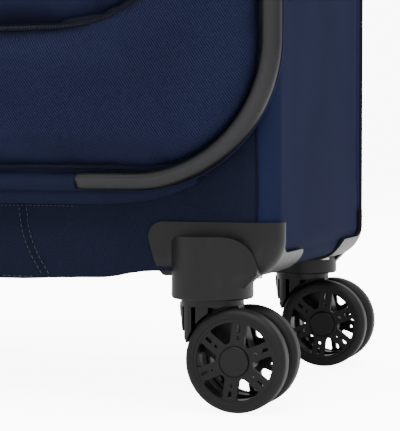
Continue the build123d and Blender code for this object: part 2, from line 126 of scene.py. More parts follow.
class Graph:
    """The node tree of one material, with a Principled shader already in it."""

    def __init__(self, name: str) -> None:
        """Starts an empty material of that name."""
        self.material = bpy.data.materials.new(name)
        self.material.use_nodes = True
        self.tree = self.material.node_tree
        self.shader = self.tree.nodes["Principled BSDF"]

    def node(self, kind: str, settings: dict, inputs: dict, out: str | int = 0) -> Sock:
        """Adds any node.

        Args:
            kind: The node's type.
            settings: Its properties; "stops" holds a ramp's (position, colour) pairs.
            inputs: Value or link of each input, by name or number.
            out: The output that is wanted.

        Returns:
            That output.
        """
        made = self.tree.nodes.new(kind)
        for key, value in settings.items():
            if key == "stops":
                elements = made.color_ramp.elements
                while len(elements) < len(value):
                    elements.new(0.5)
                for element, (position, colour) in zip(elements, value):
                    element.position = position
                    element.color = (*colour, 1.0)
            else:
                setattr(made, key, value)
        for key, value in inputs.items():
            if isinstance(value, Sock):
                self.tree.links.new(value.socket, made.inputs[key])
            else:
                made.inputs[key].default_value = value
        return Sock(self, made.outputs[out])

    def math(self, operation: str, *values: Value) -> Sock:
        """One Math node over numbers or sockets."""
        return self.node("ShaderNodeMath", {"operation": operation}, dict(enumerate(values)))

    def coordinates(self) -> Sock:
        """Object coordinates, in metres."""
        return self.node("ShaderNodeTexCoord", {}, {}, "Object")

    def weave(self) -> tuple[Sock, Sock]:
        """The two cloth coordinates of a piece, in metres along and across its cloth."""
        uv = self.node("ShaderNodeUVMap", {"uv_map": "weave"}, {}, "UV")
        split = self.node("ShaderNodeSeparateXYZ", {}, {"Vector": uv}, "X")
        return split, Sock(self, split.socket.node.outputs["Y"])

    def noise(self, scale: float, detail: float = 3.0, stretch: Colour = (1.0, 1.0, 1.0)) -> Sock:
        """Noise from 0 to 1 on object coordinates.

        Args:
            scale: Features per metre.
            detail: Octaves.
            stretch: Extra scale along each axis.

        Returns:
            The noise value.
        """
        place = self.node("ShaderNodeMapping", {}, {"Vector": self.coordinates(), "Scale": stretch})
        inputs = {"Vector": place, "Scale": scale, "Detail": detail, "Roughness": 0.55}
        return self.node("ShaderNodeTexNoise", {}, inputs, 0)

    def mix(self, factor: Value, first: Colour | Sock, second: Colour | Sock) -> Sock:
        """A colour between two colours."""
        pair = [c if isinstance(c, Sock) else (*c, 1.0) for c in (first, second)]
        inputs = {"Factor": factor, 6: pair[0], 7: pair[1]}
        return self.node("ShaderNodeMix", {"data_type": "RGBA"}, inputs, 2)

    def bump(self, height: Sock, distance: float, strength: float = 1.0) -> Sock:
        """A surface normal from a height of 0 to 1 over a depth in metres."""
        return self.node("ShaderNodeBump", {}, {"Height": height, "Distance": distance, "Strength": strength})

    def finish(self, **inputs: Value | Colour) -> bpy.types.Material:
        """Sets or links the shader's sockets; a name's underscores stand for spaces."""
        for key, value in inputs.items():
            socket = self.shader.inputs[key.replace("_", " ")]
            if isinstance(value, Sock):
                self.tree.links.new(value.socket, socket)
            elif isinstance(value, tuple):
                socket.default_value = (*value, 1.0)
            else:
                socket.default_value = value
        return self.material


# ------------------------------------------------------------------ finishes
class Lean(Enum):
    """Which way a twill's ridges lean, in degrees from the cloth's first direction."""

    LEFT = 124.0
    RIGHT = 56.0


@dataclass(frozen=True)
class Twill:
    """Ridged polyester twill, worked out on the cloth coordinates."""

    name: str
    valley: Colour
    ridge: Colour
    pitch: float = 1.55 * MM
    yarn: float = 1.3 * MM
    depth: float = 0.22 * MM
    contrast: float = 1.0
    lean: Lean = Lean.LEFT
    sheen: float = 0.03
    gloss: float = 0.03
    # Object Y range, from near the board outwards, over which the cloth is darkened: painted shade in the
    # valleys.
    painted_shade_span: Pair | None = None

    def build(self) -> bpy.types.Material:
        """Ridges are a sine across their lean; yarns cut them into grains along it; cloth lying back near the
        board is darkened as painted shade.

        Returns:
            The material.
        """
        g = Graph(self.name)
        along, across = g.weave()
        angle = math.radians(self.lean.value)
        drift = g.noise(22.0, 2.0) * 2.6
        ridge_phase = (across * math.cos(angle) - along * math.sin(angle)) * (TAU / self.pitch) + drift
        yarn_phase = (across * math.sin(angle) + along * math.cos(angle)) * (TAU / self.yarn) + drift
        ridge = ridge_phase.sin() * 0.5 + 0.5
        grain = yarn_phase.sin() * 0.5 + 0.5
        slub = g.noise(900.0, 2.0)
        cloud = g.noise(9.0, 4.0)
        weight = (ridge * 0.62 + ridge * grain * 0.38) * self.contrast
        tone = (weight + (slub - 0.5) * 0.55 + (cloud - 0.5) * 0.5 + (1.0 - self.contrast) * 0.5).clamp()
        # Painted shade: cloth lying back towards the lid board, in the valleys by cushions and guards, is
        # darkened.
        if self.painted_shade_span:
            split = g.node("ShaderNodeSeparateXYZ", {}, {"Vector": g.coordinates()}, "Y")
            unshaded = ((self.painted_shade_span[0] - split) / (self.painted_shade_span[0] - self.painted_shade_span[1])).clamp()
            tone = tone * (unshaded * 0.85 + 0.15) - (1.0 - unshaded) * 0.06
        colour = g.mix(tone, self.valley, self.ridge)
        height = ridge * 0.6 + grain * 0.25 + slub * 0.3
        return g.finish(
            Base_Color=colour,
            Roughness=0.78 - tone * 0.1,
            Specular_IOR_Level=self.gloss,
            Sheen_Weight=self.sheen,
            Sheen_Roughness=0.4,
            Sheen_Tint=(0.35, 0.45, 0.8),
            Normal=g.bump(height, self.depth, 0.85),
        )


@dataclass(frozen=True)
class Moulded:
    """Moulded plastic or rubber with a fine grain, dust in it and paler patches of wear; a guard's crest also
    gets a painted highlight.
    """

    name: str
    colour: Colour
    # Paler colour: patches of wear, and the painted highlight on a crest.
    wear_and_highlight: Colour
    roughness: float = 0.5
    grain: float = 2600.0
    depth: float = 0.05 * MM
    speckle: float = 0.35
    coat: float = 0.0
    # Centre and half width, across the profile, of a crest band painted paler as a painted highlight.
    crest: Pair | None = None

    def build(self) -> bpy.types.Material:
        """Fine noise is the grain, mid noise scuffs, wide noise handling marks; a band along a crest is painted
        paler as a painted highlight.

        Returns:
            The material.
        """
        g = Graph(self.name)
        fine = g.noise(self.grain, 2.0)
        scuff = g.noise(240.0, 5.0, (1.0, 1.0, 0.35)).ramp(0.56, 0.74)
        wide = g.noise(16.0, 3.0)
        tone = ((fine - 0.5) * self.speckle + scuff * 0.3 + (wide - 0.5) * 0.5 + 0.25).clamp()
        # Painted highlight: the band on the crest is pushed towards the paler colour.
        if self.crest:
            reach = (g.weave()[1] - self.crest[0]) / self.crest[1]
            tone = (tone * 0.8 + (1.0 - reach * reach).clamp() * 0.75 - 0.3).clamp()
        return g.finish(
            Base_Color=g.mix(tone, self.colour, self.wear_and_highlight),
            Roughness=self.roughness + (wide - 0.5) * 0.16 + scuff * 0.08,
            Specular_IOR_Level=0.15,
            Coat_Weight=self.coat,
            Normal=g.bump(fine + scuff * 0.2, self.depth, 0.7),
        )


@dataclass(frozen=True)
class Metal:
    """Drawn or plated metal, brushed along one axis."""

    name: str
    colour: Colour
    dull: Colour
    roughness: float = 0.3
    stretch: Colour = (1.0, 1.0, 0.02)

    def build(self) -> bpy.types.Material:
        """Stretched noise is the brushing, a slow noise the haze of handling.

        Returns:
            The material.
        """
        g = Graph(self.name)
        lines = g.noise(1500.0, 3.0, self.stretch)
        haze = g.noise(30.0, 4.0)
        tone = (lines * 0.5 + haze * 0.5).ramp(0.3, 0.75)
        return g.finish(
            Base_Color=g.mix(tone, self.colour, self.dull),
            Metallic=1.0,
            Roughness=self.roughness + lines * 0.14 + haze * 0.08,
            Normal=g.bump(lines, 0.012 * MM, 0.6),
        )


@dataclass(frozen=True)
class Plain:
    """Plain-woven thin cloth or webbing: over-and-under yarns in both directions."""

    name: str
    dark: Colour
    light: Colour
    pitch: float = 0.9 * MM
    rib: float = 0.0
    depth: float = 0.12 * MM
    roughness: float = 0.7

    def build(self) -> bpy.types.Material:
        """The product of two sines is the weave; a third sine adds ribs along webbing.

        Returns:
            The material.
        """
        g = Graph(self.name)
        along, across = g.weave()
        weave = (along * (TAU / self.pitch)).sin() * (across * (TAU / self.pitch)).sin() * 0.5 + 0.5
        if self.rib:
            weave = weave * 0.5 + (across * (TAU / self.rib)).sin() * 0.25 + 0.25
        fuzz = g.noise(700.0, 3.0)
        cloud = g.noise(12.0, 3.0)
        tone = (weave * 0.6 + (fuzz - 0.5) * 0.5 + (cloud - 0.5) * 0.5 + 0.2).clamp()
        return g.finish(
            Base_Color=g.mix(tone, self.dark, self.light),
            Roughness=self.roughness,
            Specular_IOR_Level=0.15,
            Sheen_Weight=0.05,
            Normal=g.bump(weave + fuzz * 0.3, self.depth, 0.8),
        )


@dataclass(frozen=True)
class Thread:
    """Twisted sewing thread."""

    name: str
    colour: Colour
    light: Colour

    def build(self) -> bpy.types.Material:
        """A sine on a slanted line is the twist.

        Returns:
            The material.
        """
        g = Graph(self.name)
        along, across = g.weave()
        twist = ((along + across * 1.4) * (TAU / (0.8 * MM))).sin() * 0.5 + 0.5
        return g.finish(
            Base_Color=g.mix(twist, self.colour, self.light),
            Roughness=0.6,
            Normal=g.bump(twist, 0.05 * MM, 0.8),
        )


NAVY_VALLEY, NAVY_RIDGE = (0.0014, 0.0016, 0.0050), (0.0100, 0.0130, 0.0360)


class Palette:
    """Every finish of the suitcase, built once."""

    def __init__(self) -> None:
        """Builds the materials."""
        # Painted shade for the padded front: cloth within 2 to 9.5 mm of the lid board darkens towards it.
        painted_shade_span = (LID_Y - 2 * MM, LID_Y - 9.5 * MM)
        self.front = Twill(
            "navy_twill_front",
            NAVY_VALLEY,
            NAVY_RIDGE,
            pitch=1.35 * MM,
            contrast=0.72,
            depth=0.16 * MM,
            painted_shade_span=painted_shade_span,
        ).build()
        self.side = Twill(
            "navy_twill_side",
            (0.0034, 0.0045, 0.0130),
            (0.0094, 0.0122, 0.0340),
            pitch=1.2 * MM,
            contrast=0.8,
            depth=0.08 * MM,
            sheen=0.0,
            gloss=0.01,
        ).build()
        # A darker copy of the navy twill for the lower front: painted shade from the pocket above.
        self.low = Twill(
            "navy_twill_low_shaded",
            (0.0013, 0.0016, 0.0040),
            (0.0070, 0.0090, 0.0215),
            pitch=1.2 * MM,
            contrast=0.75,
        ).build()
        self.rope = Twill(
            "navy_piping", (0.0015, 0.0020, 0.0056), (0.0090, 0.0120, 0.0300), pitch=1.3 * MM, contrast=0.8
        ).build()
        # A darker copy of the navy cloth: painted shade on the back rope, which lies in shadow at the back
        # edge; the front seam cords use it too.
        self.edge = Twill(
            "navy_edge_shaded", (0.0012, 0.0015, 0.0042), (0.0036, 0.0046, 0.0118), contrast=0.6
        ).build()
        # Guard rubber: its inner crest band is painted paler, a painted highlight where the top light catches
        # it.
        self.guard = Moulded(
            "guard_rubber",
            (0.0019, 0.0019, 0.0023),
            (0.0140, 0.0140, 0.0153),
            0.42,
            1500.0,
            0.03 * MM,
            0.25,
            crest=(0.0125, 0.0065),
        ).build()
        self.housing = Moulded(
            "housing_plastic", (0.0010, 0.0010, 0.0013), (0.0078, 0.0078, 0.0085), 0.42, 1700.0
        ).build()
        self.fork = Moulded(
            "fork_plastic", (0.0014, 0.0014, 0.0018), (0.0070, 0.0070, 0.0077), 0.4, 1700.0
        ).build()
        self.hub = Moulded(
            "hub_plastic", (0.0006, 0.0006, 0.0008), (0.0042, 0.0042, 0.0047), 0.4, 1900.0
        ).build()
        self.tyre = Moulded(
            "tyre_rubber", (0.0008, 0.0008, 0.0010), (0.0048, 0.0048, 0.0053), 0.55, 1300.0, speckle=0.2
        ).build()
        self.grip = Moulded("grip_soft_touch", (0.006, 0.006, 0.007), (0.022, 0.022, 0.024), 0.6).build()
        self.button = Moulded(
            "button_plastic", (0.04, 0.04, 0.042), (0.075, 0.075, 0.078), 0.35, coat=0.2
        ).build()
        self.trim = Moulded("trim_plastic", (0.005, 0.005, 0.006), (0.02, 0.02, 0.0215), 0.45).build()
        self.tube = Metal("anodised_tube", (0.62, 0.63, 0.66), (0.45, 0.46, 0.48)).build()
        self.steel = Metal("plated_steel", (0.5, 0.5, 0.53), (0.3, 0.3, 0.32), 0.35, (1.0, 1.0, 1.0)).build()
        self.gunmetal = Metal(
            "gunmetal", (0.07, 0.07, 0.075), (0.13, 0.13, 0.14), 0.3, (1.0, 1.0, 1.0)
        ).build()
        self.lining = Plain("lining_cloth", (0.05, 0.055, 0.065), (0.11, 0.115, 0.13), 0.7 * MM).build()
        self.webbing = Plain(
            "webbing", (0.003, 0.003, 0.004), (0.016, 0.016, 0.018), 1.4 * MM, 3.0 * MM
        ).build()
        self.tape = Plain("zip_tape", (0.0015, 0.002, 0.006), (0.006, 0.009, 0.024), 0.8 * MM).build()
        self.coil = Moulded(
            "zip_coil", (0.002, 0.0025, 0.004), (0.01, 0.012, 0.02), 0.35, speckle=0.2
        ).build()
        self.thread = Thread("navy_thread", (0.002, 0.0026, 0.0075), (0.0055, 0.0073, 0.019)).build()


# ------------------------------------------------------------------ surfaces
def rounded_path(box: Box, radii: Pair, count: int) -> tuple[Array, Array]:
    """Closed rectangle with round corners, walked anticlockwise from the middle of its bottom edge.

    Straight runs and quarter arcs are joined into one line, which is then read at even steps of its length.

    Args:
        box: Left, right, bottom and top.
        radii: Corner radius at the bottom and at the top.
        count: Number of points.

    Returns:
        Points and outward normals, both (count, 2).
    """
    x0, x1, z0, z1 = box
    low, top = radii
    middle = (x0 + x1) / 2
    corners = (
        (x1 - low, z0 + low, low, -90.0),
        (x1 - top, z1 - top, top, 0.0),
        (x0 + top, z1 - top, top, 90.0),
        (x0 + low, z0 + low, low, 180.0),
    )
    points, normals = [np.array([[middle, z0]])], [np.array([[0.0, -1.0]])]
    for cx, cz, radius, start in corners:
        angle = np.radians(start + np.linspace(0.0, 90.0, 49))
        turn = np.stack([np.cos(angle), np.sin(angle)], 1)
        points.append(np.array([cx, cz]) + radius * turn)
        normals.append(turn)
    points.append(points[0])
    normals.append(normals[0])
    line, out = np.concatenate(points), np.concatenate(normals)
    walked = np.concatenate([[0.0], np.cumsum(np.linalg.norm(np.diff(line, axis=0), axis=1))])
    steps = np.linspace(0.0, walked[-1], count, endpoint=False)
    read = [np.interp(steps, walked, column) for column in (*line.T, *out.T)]
    normal = np.stack(read[2:], 1)
    return np.stack(read[:2], 1), normal / np.linalg.norm(normal, axis=1, keepdims=True)


def edge_distance(x: Array, z: Array, box: Box, radii: Pair) -> Array:
    """Depth of each point inside a rounded rectangle.

    The signed distance to a box shrunk by its corner radius, less that radius, with the sign turned.

    Args:
        x: First coordinate.
        z: Second coordinate.
        box: Left, right, bottom and top.
        radii: Corner radius at the bottom and at the top.

    Returns:
        Distance to the outline, positive inside.
    """
    x0, x1, z0, z1 = box
    mx, mz, hx, hz = (x0 + x1) / 2, (z0 + z1) / 2, (x1 - x0) / 2, (z1 - z0) / 2
    radius = np.where(z < mz, radii[0], radii[1])
    qx, qz = np.abs(x - mx) - hx + radius, np.abs(z - mz) - hz + radius
    outside = np.hypot(np.maximum(qx, 0), np.maximum(qz, 0))
    return radius - outside - np.minimum(np.maximum(qx, qz), 0)


def ripple(a: Array, b: Array, size: float, seed: int) -> Array:
    """Slow uneven waves from -1 to 1: a sum of nine sines of set directions, lengths and phases.

    Args:
        a: First coordinate.
        b: Second coordinate.
        size: Typical wavelength.
        seed: Picks the set of waves.

    Returns:
        The wave height.
    """
    rng = np.random.default_rng(seed)
    total = np.zeros(np.broadcast(a, b).shape)
    for _ in range(9):
        angle, phase, stretch = rng.uniform(0, TAU), rng.uniform(0, TAU), rng.uniform(0.6, 1.9)
        total = total + np.sin((a * math.cos(angle) + b * math.sin(angle)) * TAU / (size * stretch) + phase)
    return total / 4.5


def smooth(x: Array, low: float, high: float) -> Array:
    """0 below low, 1 above high, with a smooth step between."""
    t = np.clip((x - low) / (high - low), 0.0, 1.0)
    return t * t * (3.0 - 2.0 * t)


def arc_lengths(line: Array) -> Array:
    """Distance walked along a line of points, starting at 0."""
    return np.concatenate([[0.0], np.cumsum(np.linalg.norm(np.diff(line, axis=0), axis=1))])


def even_line(points: Array, step: float) -> Array:
    """A line of points read again at even steps of its own length."""
    walked = arc_lengths(points)
    steps = np.linspace(0.0, walked[-1], max(2, int(walked[-1] / step) + 1))
    return np.stack([np.interp(steps, walked, column) for column in points.T], 1)


class Skin:
    """Gathers grids of points into one mesh."""

    def __init__(self) -> None:
        """Starts empty."""
        self.points: list[Array] = []
        self.quads: list[Array] = []
        self.tris: list[Array] = []
        self.quad_uv: list[Array] = []
        self.tri_uv: list[Array] = []
        self.count = 0

    def grid(
        self, points: Array, uv: Array, wrap_u: bool = False, wrap_v: bool = False, caps: bool = False
    ) -> "Skin":
        """Adds a grid of points as quads, turned so that a closed one faces outwards.

        Args:
            points: (u, v, 3) array.
            uv: (u, v, 2) cloth coordinates, with one more row or column where that way wraps.
            wrap_u: Joins the last row to the first.
            wrap_v: Joins the last column to the first.
            caps: Closes the first and last row with a fan.

        Returns:
            Itself.
        """
        nu, nv = points.shape[:2]
        rows, columns = np.arange(nu if wrap_u else nu - 1), np.arange(nv if wrap_v else nv - 1)
        u, v = np.meshgrid(rows, columns, indexing="ij")
        u, v = u.ravel(), v.ravel()
        u2, v2 = (u + 1) % nu, (v + 1) % nv
        quads = np.stack([u * nv + v, u2 * nv + v, u2 * nv + v2, u * nv + v2], 1)
        quad_uv = np.stack([uv[u, v], uv[u + 1, v], uv[u + 1, v + 1], uv[u, v + 1]], 1)
        flat = points.reshape(-1, 3)
        tris, tri_uv = np.zeros((0, 3), int), np.zeros((0, 3, 2))
        if caps:
            middles = points[[0, -1]].mean(1)
            flat = np.concatenate([flat, middles])
            ring = np.arange(nv)
            for row, centre, order in ((0, nu * nv, (0, 1, 2)), ((nu - 1), nu * nv + 1, (0, 2, 1))):
                fan = np.stack([np.full(nv, centre), row * nv + ring, row * nv + (ring + 1) % nv], 1)
                rim = uv[row, : nv + 1]
                centre_uv = np.broadcast_to(rim.mean(0), (nv, 2))
                fan_uv = np.stack([centre_uv, rim[:-1], rim[1:]], 1)
                tris = np.concatenate([tris, fan[:, order]])
                tri_uv = np.concatenate([tri_uv, fan_uv[:, order]])
        corners = flat[np.concatenate([quads[:, [0, 1, 2]], quads[:, [0, 2, 3]], tris])]
        volume = np.einsum("ij,ij->", corners[:, 0], np.cross(corners[:, 1], corners[:, 2]))
        if volume < 0 and (caps or (wrap_u and wrap_v)):
            quads, quad_uv, tris, tri_uv = quads[:, ::-1], quad_uv[:, ::-1], tris[:, ::-1], tri_uv[:, ::-1]
        self.points.append(flat)
        self.quads.append(quads + self.count)
        self.tris.append(tris + self.count)
        self.quad_uv.append(quad_uv)
        self.tri_uv.append(tri_uv)
        self.count += len(flat)
        return self

    def tube(self, line: Array, sides: Array, normal: Array, wrap: bool = False) -> "Skin":
        """Carries a closed profile along a line.

        Each ring is line point + profile's first number along normal x tangent + its second along normal.

        Args:
            line: (n, 3) points.
            sides: (m, 2) profile, or (n, m, 2) one for each point.
            normal: (3,) or (n, 3) direction of the profile's second number.
            wrap: Joins the end to the start.

        Returns:
            Itself.
        """
        if wrap:
            tangent = np.roll(line, -1, 0) - np.roll(line, 1, 0)
        else:
            tangent = np.gradient(line, axis=0)
        tangent /= np.linalg.norm(tangent, axis=1, keepdims=True)
        up = np.broadcast_to(normal, line.shape)
        up = up - tangent * np.sum(up * tangent, 1, keepdims=True)
        up = up / np.linalg.norm(up, axis=1, keepdims=True)
        across = np.cross(up, tangent)
        sides = np.broadcast_to(sides, (len(line), *sides.shape[-2:]))
        rings = line[:, None] + sides[..., :1] * across[:, None] + sides[..., 1:] * up[:, None]
        closed = np.concatenate([line, line[:1]]) if wrap else line
        along = arc_lengths(closed)
        round_line = np.concatenate([sides[0], sides[0, :1]])
        uv = np.stack(np.meshgrid(along, arc_lengths(round_line), indexing="ij"), 2)
        return self.grid(rings, uv, wrap, True, not wrap)

    def make(
        self, name: str, material: bpy.types.Material, body: str, slot: str, subdivide: int = 0
    ) -> bpy.types.Object:
        """Turns the grids into one object that rides on a body.

        Args:
            name: Piece name.
            material: Its finish.
            body: CAD body that it rides on, or nothing.
            slot: Material slot of the record; not used.
            subdivide: Levels of subdivision.

        Returns:
            The object.
        """
        mesh = bpy.data.meshes.new(name)
        quads, tris = np.concatenate(self.quads), np.concatenate(self.tris)
        mesh.from_pydata(np.concatenate(self.points), [], quads.tolist() + tris.tolist())
        layer = mesh.uv_layers.new(name="weave")
        uv = np.concatenate([np.concatenate(part).reshape(-1, 2) for part in (self.quad_uv, self.tri_uv)])
        layer.data.foreach_set("uv", uv.astype(np.float32).ravel())
        mesh.polygons.foreach_set("use_smooth", np.ones(len(mesh.polygons), bool))
        mesh.materials.append(material)
        return dress(name, mesh, body, subdivide)


def dress(name: str, mesh: bpy.types.Mesh, body: str, subdivide: int = 0) -> bpy.types.Object:
    """Makes a piece from a finished mesh, puts it on its body if one is named, and reports it."""
    piece = bpy.data.objects.new(name, mesh)
    bpy.context.scene.collection.objects.link(piece)
    if subdivide:
        modifier = piece.modifiers.new("Subdivision", "SUBSURF")
        modifier.levels = modifier.render_levels = subdivide
    if body:
        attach(piece, body)
    log.info("%s: %d faces on %s", name, len(mesh.polygons), body or "two bodies")
    return piece


def disc(radius: float, sides: int) -> Array:
    """A round profile of that many corners."""
    angle = np.linspace(0.0, TAU, sides, endpoint=False)
    return np.stack([np.cos(angle), np.sin(angle)], 1) * radius


def strip(width: float, thick: float) -> Array:
    """A flat profile with eased edges, centred on its width and standing on its line."""
    w, t, e = width / 2, thick, min(thick, width) * 0.35
    right = [(w - e, t), (w, t - e), (w, e), (w - e, 0.0)]
    return np.array([(-w, e), (-w, t - e), (-w + e, t), *right, (-w + e, 0.0)])


def stitches(skin: Skin, line: Array, normal: Array, length: float, gap: float, radius: float) -> Skin:
    """Adds a row of thread stitches along a line, each a short bead that dips at both ends.

    A bead is 7 rings of 5 points; its radius follows the square root of a sine and its height a sine.

    Args:
        skin: Mesh that takes them.
        line: (n, 3) points of the seam.
        normal: (3,) direction out of the cloth.
        length: Length of a stitch.
        gap: Space between two.
        radius: Thread radius.

    Returns:
        The same mesh.
    """
    walked = arc_lengths(line)
    starts = np.arange(gap / 2, walked[-1] - length, length + gap)
    t = np.linspace(0.0, 1.0, 7)
    at = starts[:, None] + t * length
    centre = np.stack([np.interp(at, walked, column) for column in line.T], 2)
    centre = centre + np.sin(math.pi * t)[:, None] * radius * 0.9 * np.asarray(normal)
    tangent = centre[:, -1] - centre[:, 0]
    tangent /= np.linalg.norm(tangent, axis=1, keepdims=True)
    across = np.cross(np.asarray(normal, float), tangent)
    ring = disc(1.0, 5)
    size = radius * np.sqrt(np.sin(math.pi * (0.06 + 0.88 * t)))
    offset = ring[:, :1] * across[:, None, None] + ring[:, 1:] * np.asarray(normal, float)
    beads = centre[:, :, None] + offset * size[:, None, None]
    uv = np.stack(np.meshgrid(t * length, np.linspace(0, TAU * radius, 6), indexing="ij"), 2)
    for bead in beads:
        skin.grid(bead, uv, False, True, True)
    return skin


# ------------------------------------------------------------------ the frame's own sizes
def joint_place(name: str) -> Array:
    """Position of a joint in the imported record."""
    joints = frame["record"]["behaviour"]["joints"]
    return np.array(next(j["pos_m"] for j in joints if j["name"] == name))


def paint(node: str, material: bpy.types.Material) -> None:
    """Gives a CAD node a finish, in place of every one that it has."""
    piece = frame["nodes"][node]
    if not piece.material_slots:
        piece.data.materials.append(material)
    for place in piece.material_slots:
        place.material = material


SHELL_LO, SHELL_HI = (np.array(corner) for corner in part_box("body_shell"))
FRONT_Y, BACK_Y = SHELL_LO[1], SHELL_HI[1]
HALF_W, SHELL_Z0, SHELL_Z1 = SHELL_HI[0], SHELL_LO[2], SHELL_HI[2]
LID_LO, LID_HI = (np.array(corner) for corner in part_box("lid_panel"))
LID_Y = LID_LO[1]
GUARD_LO, GUARD_HI = (np.array(corner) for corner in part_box("guard_right"))
GUARD_W = 11.0 * MM
GUARD_BOX = (
    -GUARD_HI[0] + GUARD_W / 2,
    GUARD_HI[0] - GUARD_W / 2,
    GUARD_LO[2] + GUARD_W / 2,
    GUARD_HI[2] - GUARD_W / 2,
)
GUARD_RADII = (82.0 * MM, 58.0 * MM)
GUARD_END = GUARD_LO[0]
UPPER_LO, UPPER_HI = (np.array(corner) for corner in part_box("upper_pocket"))
UPPER_BOX = (UPPER_LO[0], UPPER_HI[0], UPPER_LO[2], UPPER_HI[2])
UPPER_RADII = (100.0 * MM, 50.0 * MM)
POCKET_Y = float(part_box("lower_pocket")[0][1])
FORWARD = np.array([0.0, -1.0, 0.0])


def grown(box: Box, grow: float) -> Box:
    """A rectangle with every side moved outwards."""
    return (box[0] - grow, box[1] + grow, box[2] - grow, box[3] + grow)


def facing(x: Array, y: Array, z: Array) -> Array:
    """Three coordinate arrays as one array of points."""
    return np.stack(np.broadcast_arrays(x, y, z), -1)


def wrapped(uv: Array) -> Array:
    """Cloth coordinates with their first column repeated, for a grid that closes on itself."""
    return np.concatenate([uv, uv[:, :1]], 1)


# How far the lower front hangs down, in mm, at distances in mm from the middle: slack, unevenly filled cloth,
# drawn up at the housings.
SAG_AT = (0.0, 55.0, 78.0, 92.0, 107.0, 115.0, 123.0, 131.0, 140.0, 200.0)
SAG_BY = (7.5, 7.3, 6.2, 5.7, 5.3, 4.2, 2.5, 1.3, 0.6, 0.0)


# ------------------------------------------------------------------ fabric body
@dataclass
class FabricBody:
    """Side, top and bottom cloth of the case, with its back board, ropes and lower front panel."""

    palette: Palette
    corner_low: float = 20.0 * MM
    corner_top: float = 62.0 * MM
    edge: float = 10.0 * MM
    rim: float = 13.0 * MM
    wall: float = 3.6 * MM
    side_slack: float = 1.1 * MM
    back_seam: float = 92.0 * MM
    seam_inset: float = 12.0 * MM
    seam_radius: float = 0.7 * MM

    def outline(self, count: int) -> tuple[Array, Array]:
        """The body's outline seen from the front."""
        box = (-HALF_W, HALF_W, SHELL_Z0, SHELL_Z1)
        return rounded_path(box, (self.corner_low, self.corner_top), count)

    def profile(self) -> Array:
        """The wall cut across: front rim, side, back rim, and home along the inside."""
        e, w, r, y0, y1 = self.edge, self.wall, self.rim, FRONT_Y, BACK_Y
        front = np.radians(np.linspace(270.0, 360.0, 15))
        back = np.radians(np.linspace(0.0, 90.0, 13))
        side = np.linspace(y0 + e, y1 - e, 62)[1:-1]
        parts = [
            np.array([(-r, y0 + 0.6 * MM), (-r + 0.7 * MM, y0 + 0.1 * MM), (-r + 1.6 * MM, y0)]),
            np.stack([-e + e * np.cos(front), y0 + e + e * np.sin(front)], 1),
            np.stack([np.zeros_like(side), side], 1),
            np.stack([-e + e * np.cos(back), y1 - e + e * np.sin(back)], 1),
            np.array([(-r + 1.2 * MM, y1), (-r, y1 - 0.6 * MM), (-r, y1 - w)]),
            np.array([(-e, y1 - w), (-w - 1.5 * MM, y1 - w - 1.5 * MM), (-w, y1 - 3 * w)]),
            np.array([(-w, y0 + 3 * w), (-w - 1.5 * MM, y0 + w + 1.5 * MM), (-e, y0 + w), (-r, y0 + w)]),
        ]
        return np.concatenate(parts)

    def cover(self) -> bpy.types.Object:
        """The cloth itself.

        Each point is the outline's point plus its normal times the profile's first number; slack waves, the
        seam along the foot of the sides and the sink beside the back rope are added along that normal.

        Returns:
            The piece.
        """
        points, normals = self.outline(1000)
        profile = self.profile()
        n, y = np.broadcast_arrays(profile[:, 0], profile[:, 1])
        z, x = points[:, 1:], points[:, :1]
        outer = smooth(n, -0.6 * self.edge, -0.1 * self.edge) * (n > -self.wall + MM)
        depth = smooth(y, FRONT_Y + 4 * MM, FRONT_Y + 45 * MM)
        depth = depth * (1 - smooth(y, BACK_Y - 45 * MM, BACK_Y - 12 * MM))
        flat = smooth(np.abs(x), HALF_W - 6 * MM, HALF_W - 0.5 * MM)
        above = smooth(z, SHELL_Z0 + 34 * MM, SHELL_Z0 + 75 * MM)
        waves = ripple(y + 0 * z, z, 210 * MM, 5) + 0.4 * ripple(y + 0 * z, z, 90 * MM, 8)
        swell = self.side_slack * outer * depth * flat * waves * (0.14 + 0.22 * above)
        foot = SHELL_Z0 + 10.5 * MM
        housing = 1 - smooth(np.abs(y - (FRONT_Y + BACK_Y) / 2), 44 * MM, 58 * MM)
        groove = -1.5 * MM * np.exp(-(((z - foot) / (1.3 * MM)) ** 2)) * outer * flat * housing
        bead = 1.4 * MM * np.exp(-(((z - foot + 6 * MM) / (3.4 * MM)) ** 2)) * outer * housing
        tuck_y = BACK_Y - 15 * MM + 3.5 * MM * (1 - smooth(z, SHELL_Z0 + 28 * MM, SHELL_Z0 + 62 * MM))
        tuck_y = tuck_y + 0.8 * MM * ripple(z, z * 0, 120 * MM, 3)
        tuck = -2.6 * MM * np.exp(-(((y - tuck_y) / (2.2 * MM)) ** 2)) * outer
        waist = -1.2 * MM * above * flat * outer * depth
        offset = n + swell + groove + bead + tuck + waist
        grid = facing(x + normals[:, :1] * offset, y + 0 * z, z + normals[:, 1:] * offset)
        along = np.concatenate([arc_lengths(points), [arc_lengths(points)[-1] + 2 * MM]])
        across = arc_lengths(np.concatenate([profile, profile[:1]]))
        uv = np.stack(np.meshgrid(across, along, indexing="xy"), 2)
        piece = Skin().grid(grid, uv, True, True).make("body_cover", self.palette.side, "case", "fabric_navy")
        self.cut_tube_openings(piece)
        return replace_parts(piece, "body_shell")

    def cut_tube_openings(self, piece: bpy.types.Object) -> None:
        """Opens the cloth's outer layer under the trolley plate, 2 mm clear of the two sliding tubes.

        The outer layer near the tubes is first cut along the six planes that bound the openings.

        Args:
            piece: The cloth.
        """
        low, high = (np.array(corner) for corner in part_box("middle_tubes"))
        half = float(high[1] - low[1]) / 2
        across, deep, room = float(high[0]) - half, float(low[1]) + half, half + 2.0 * MM
        top, nearby = SHELL_Z1 - 12 * MM, 80 * MM
        shape = bmesh.new()
        shape.from_mesh(piece.data)

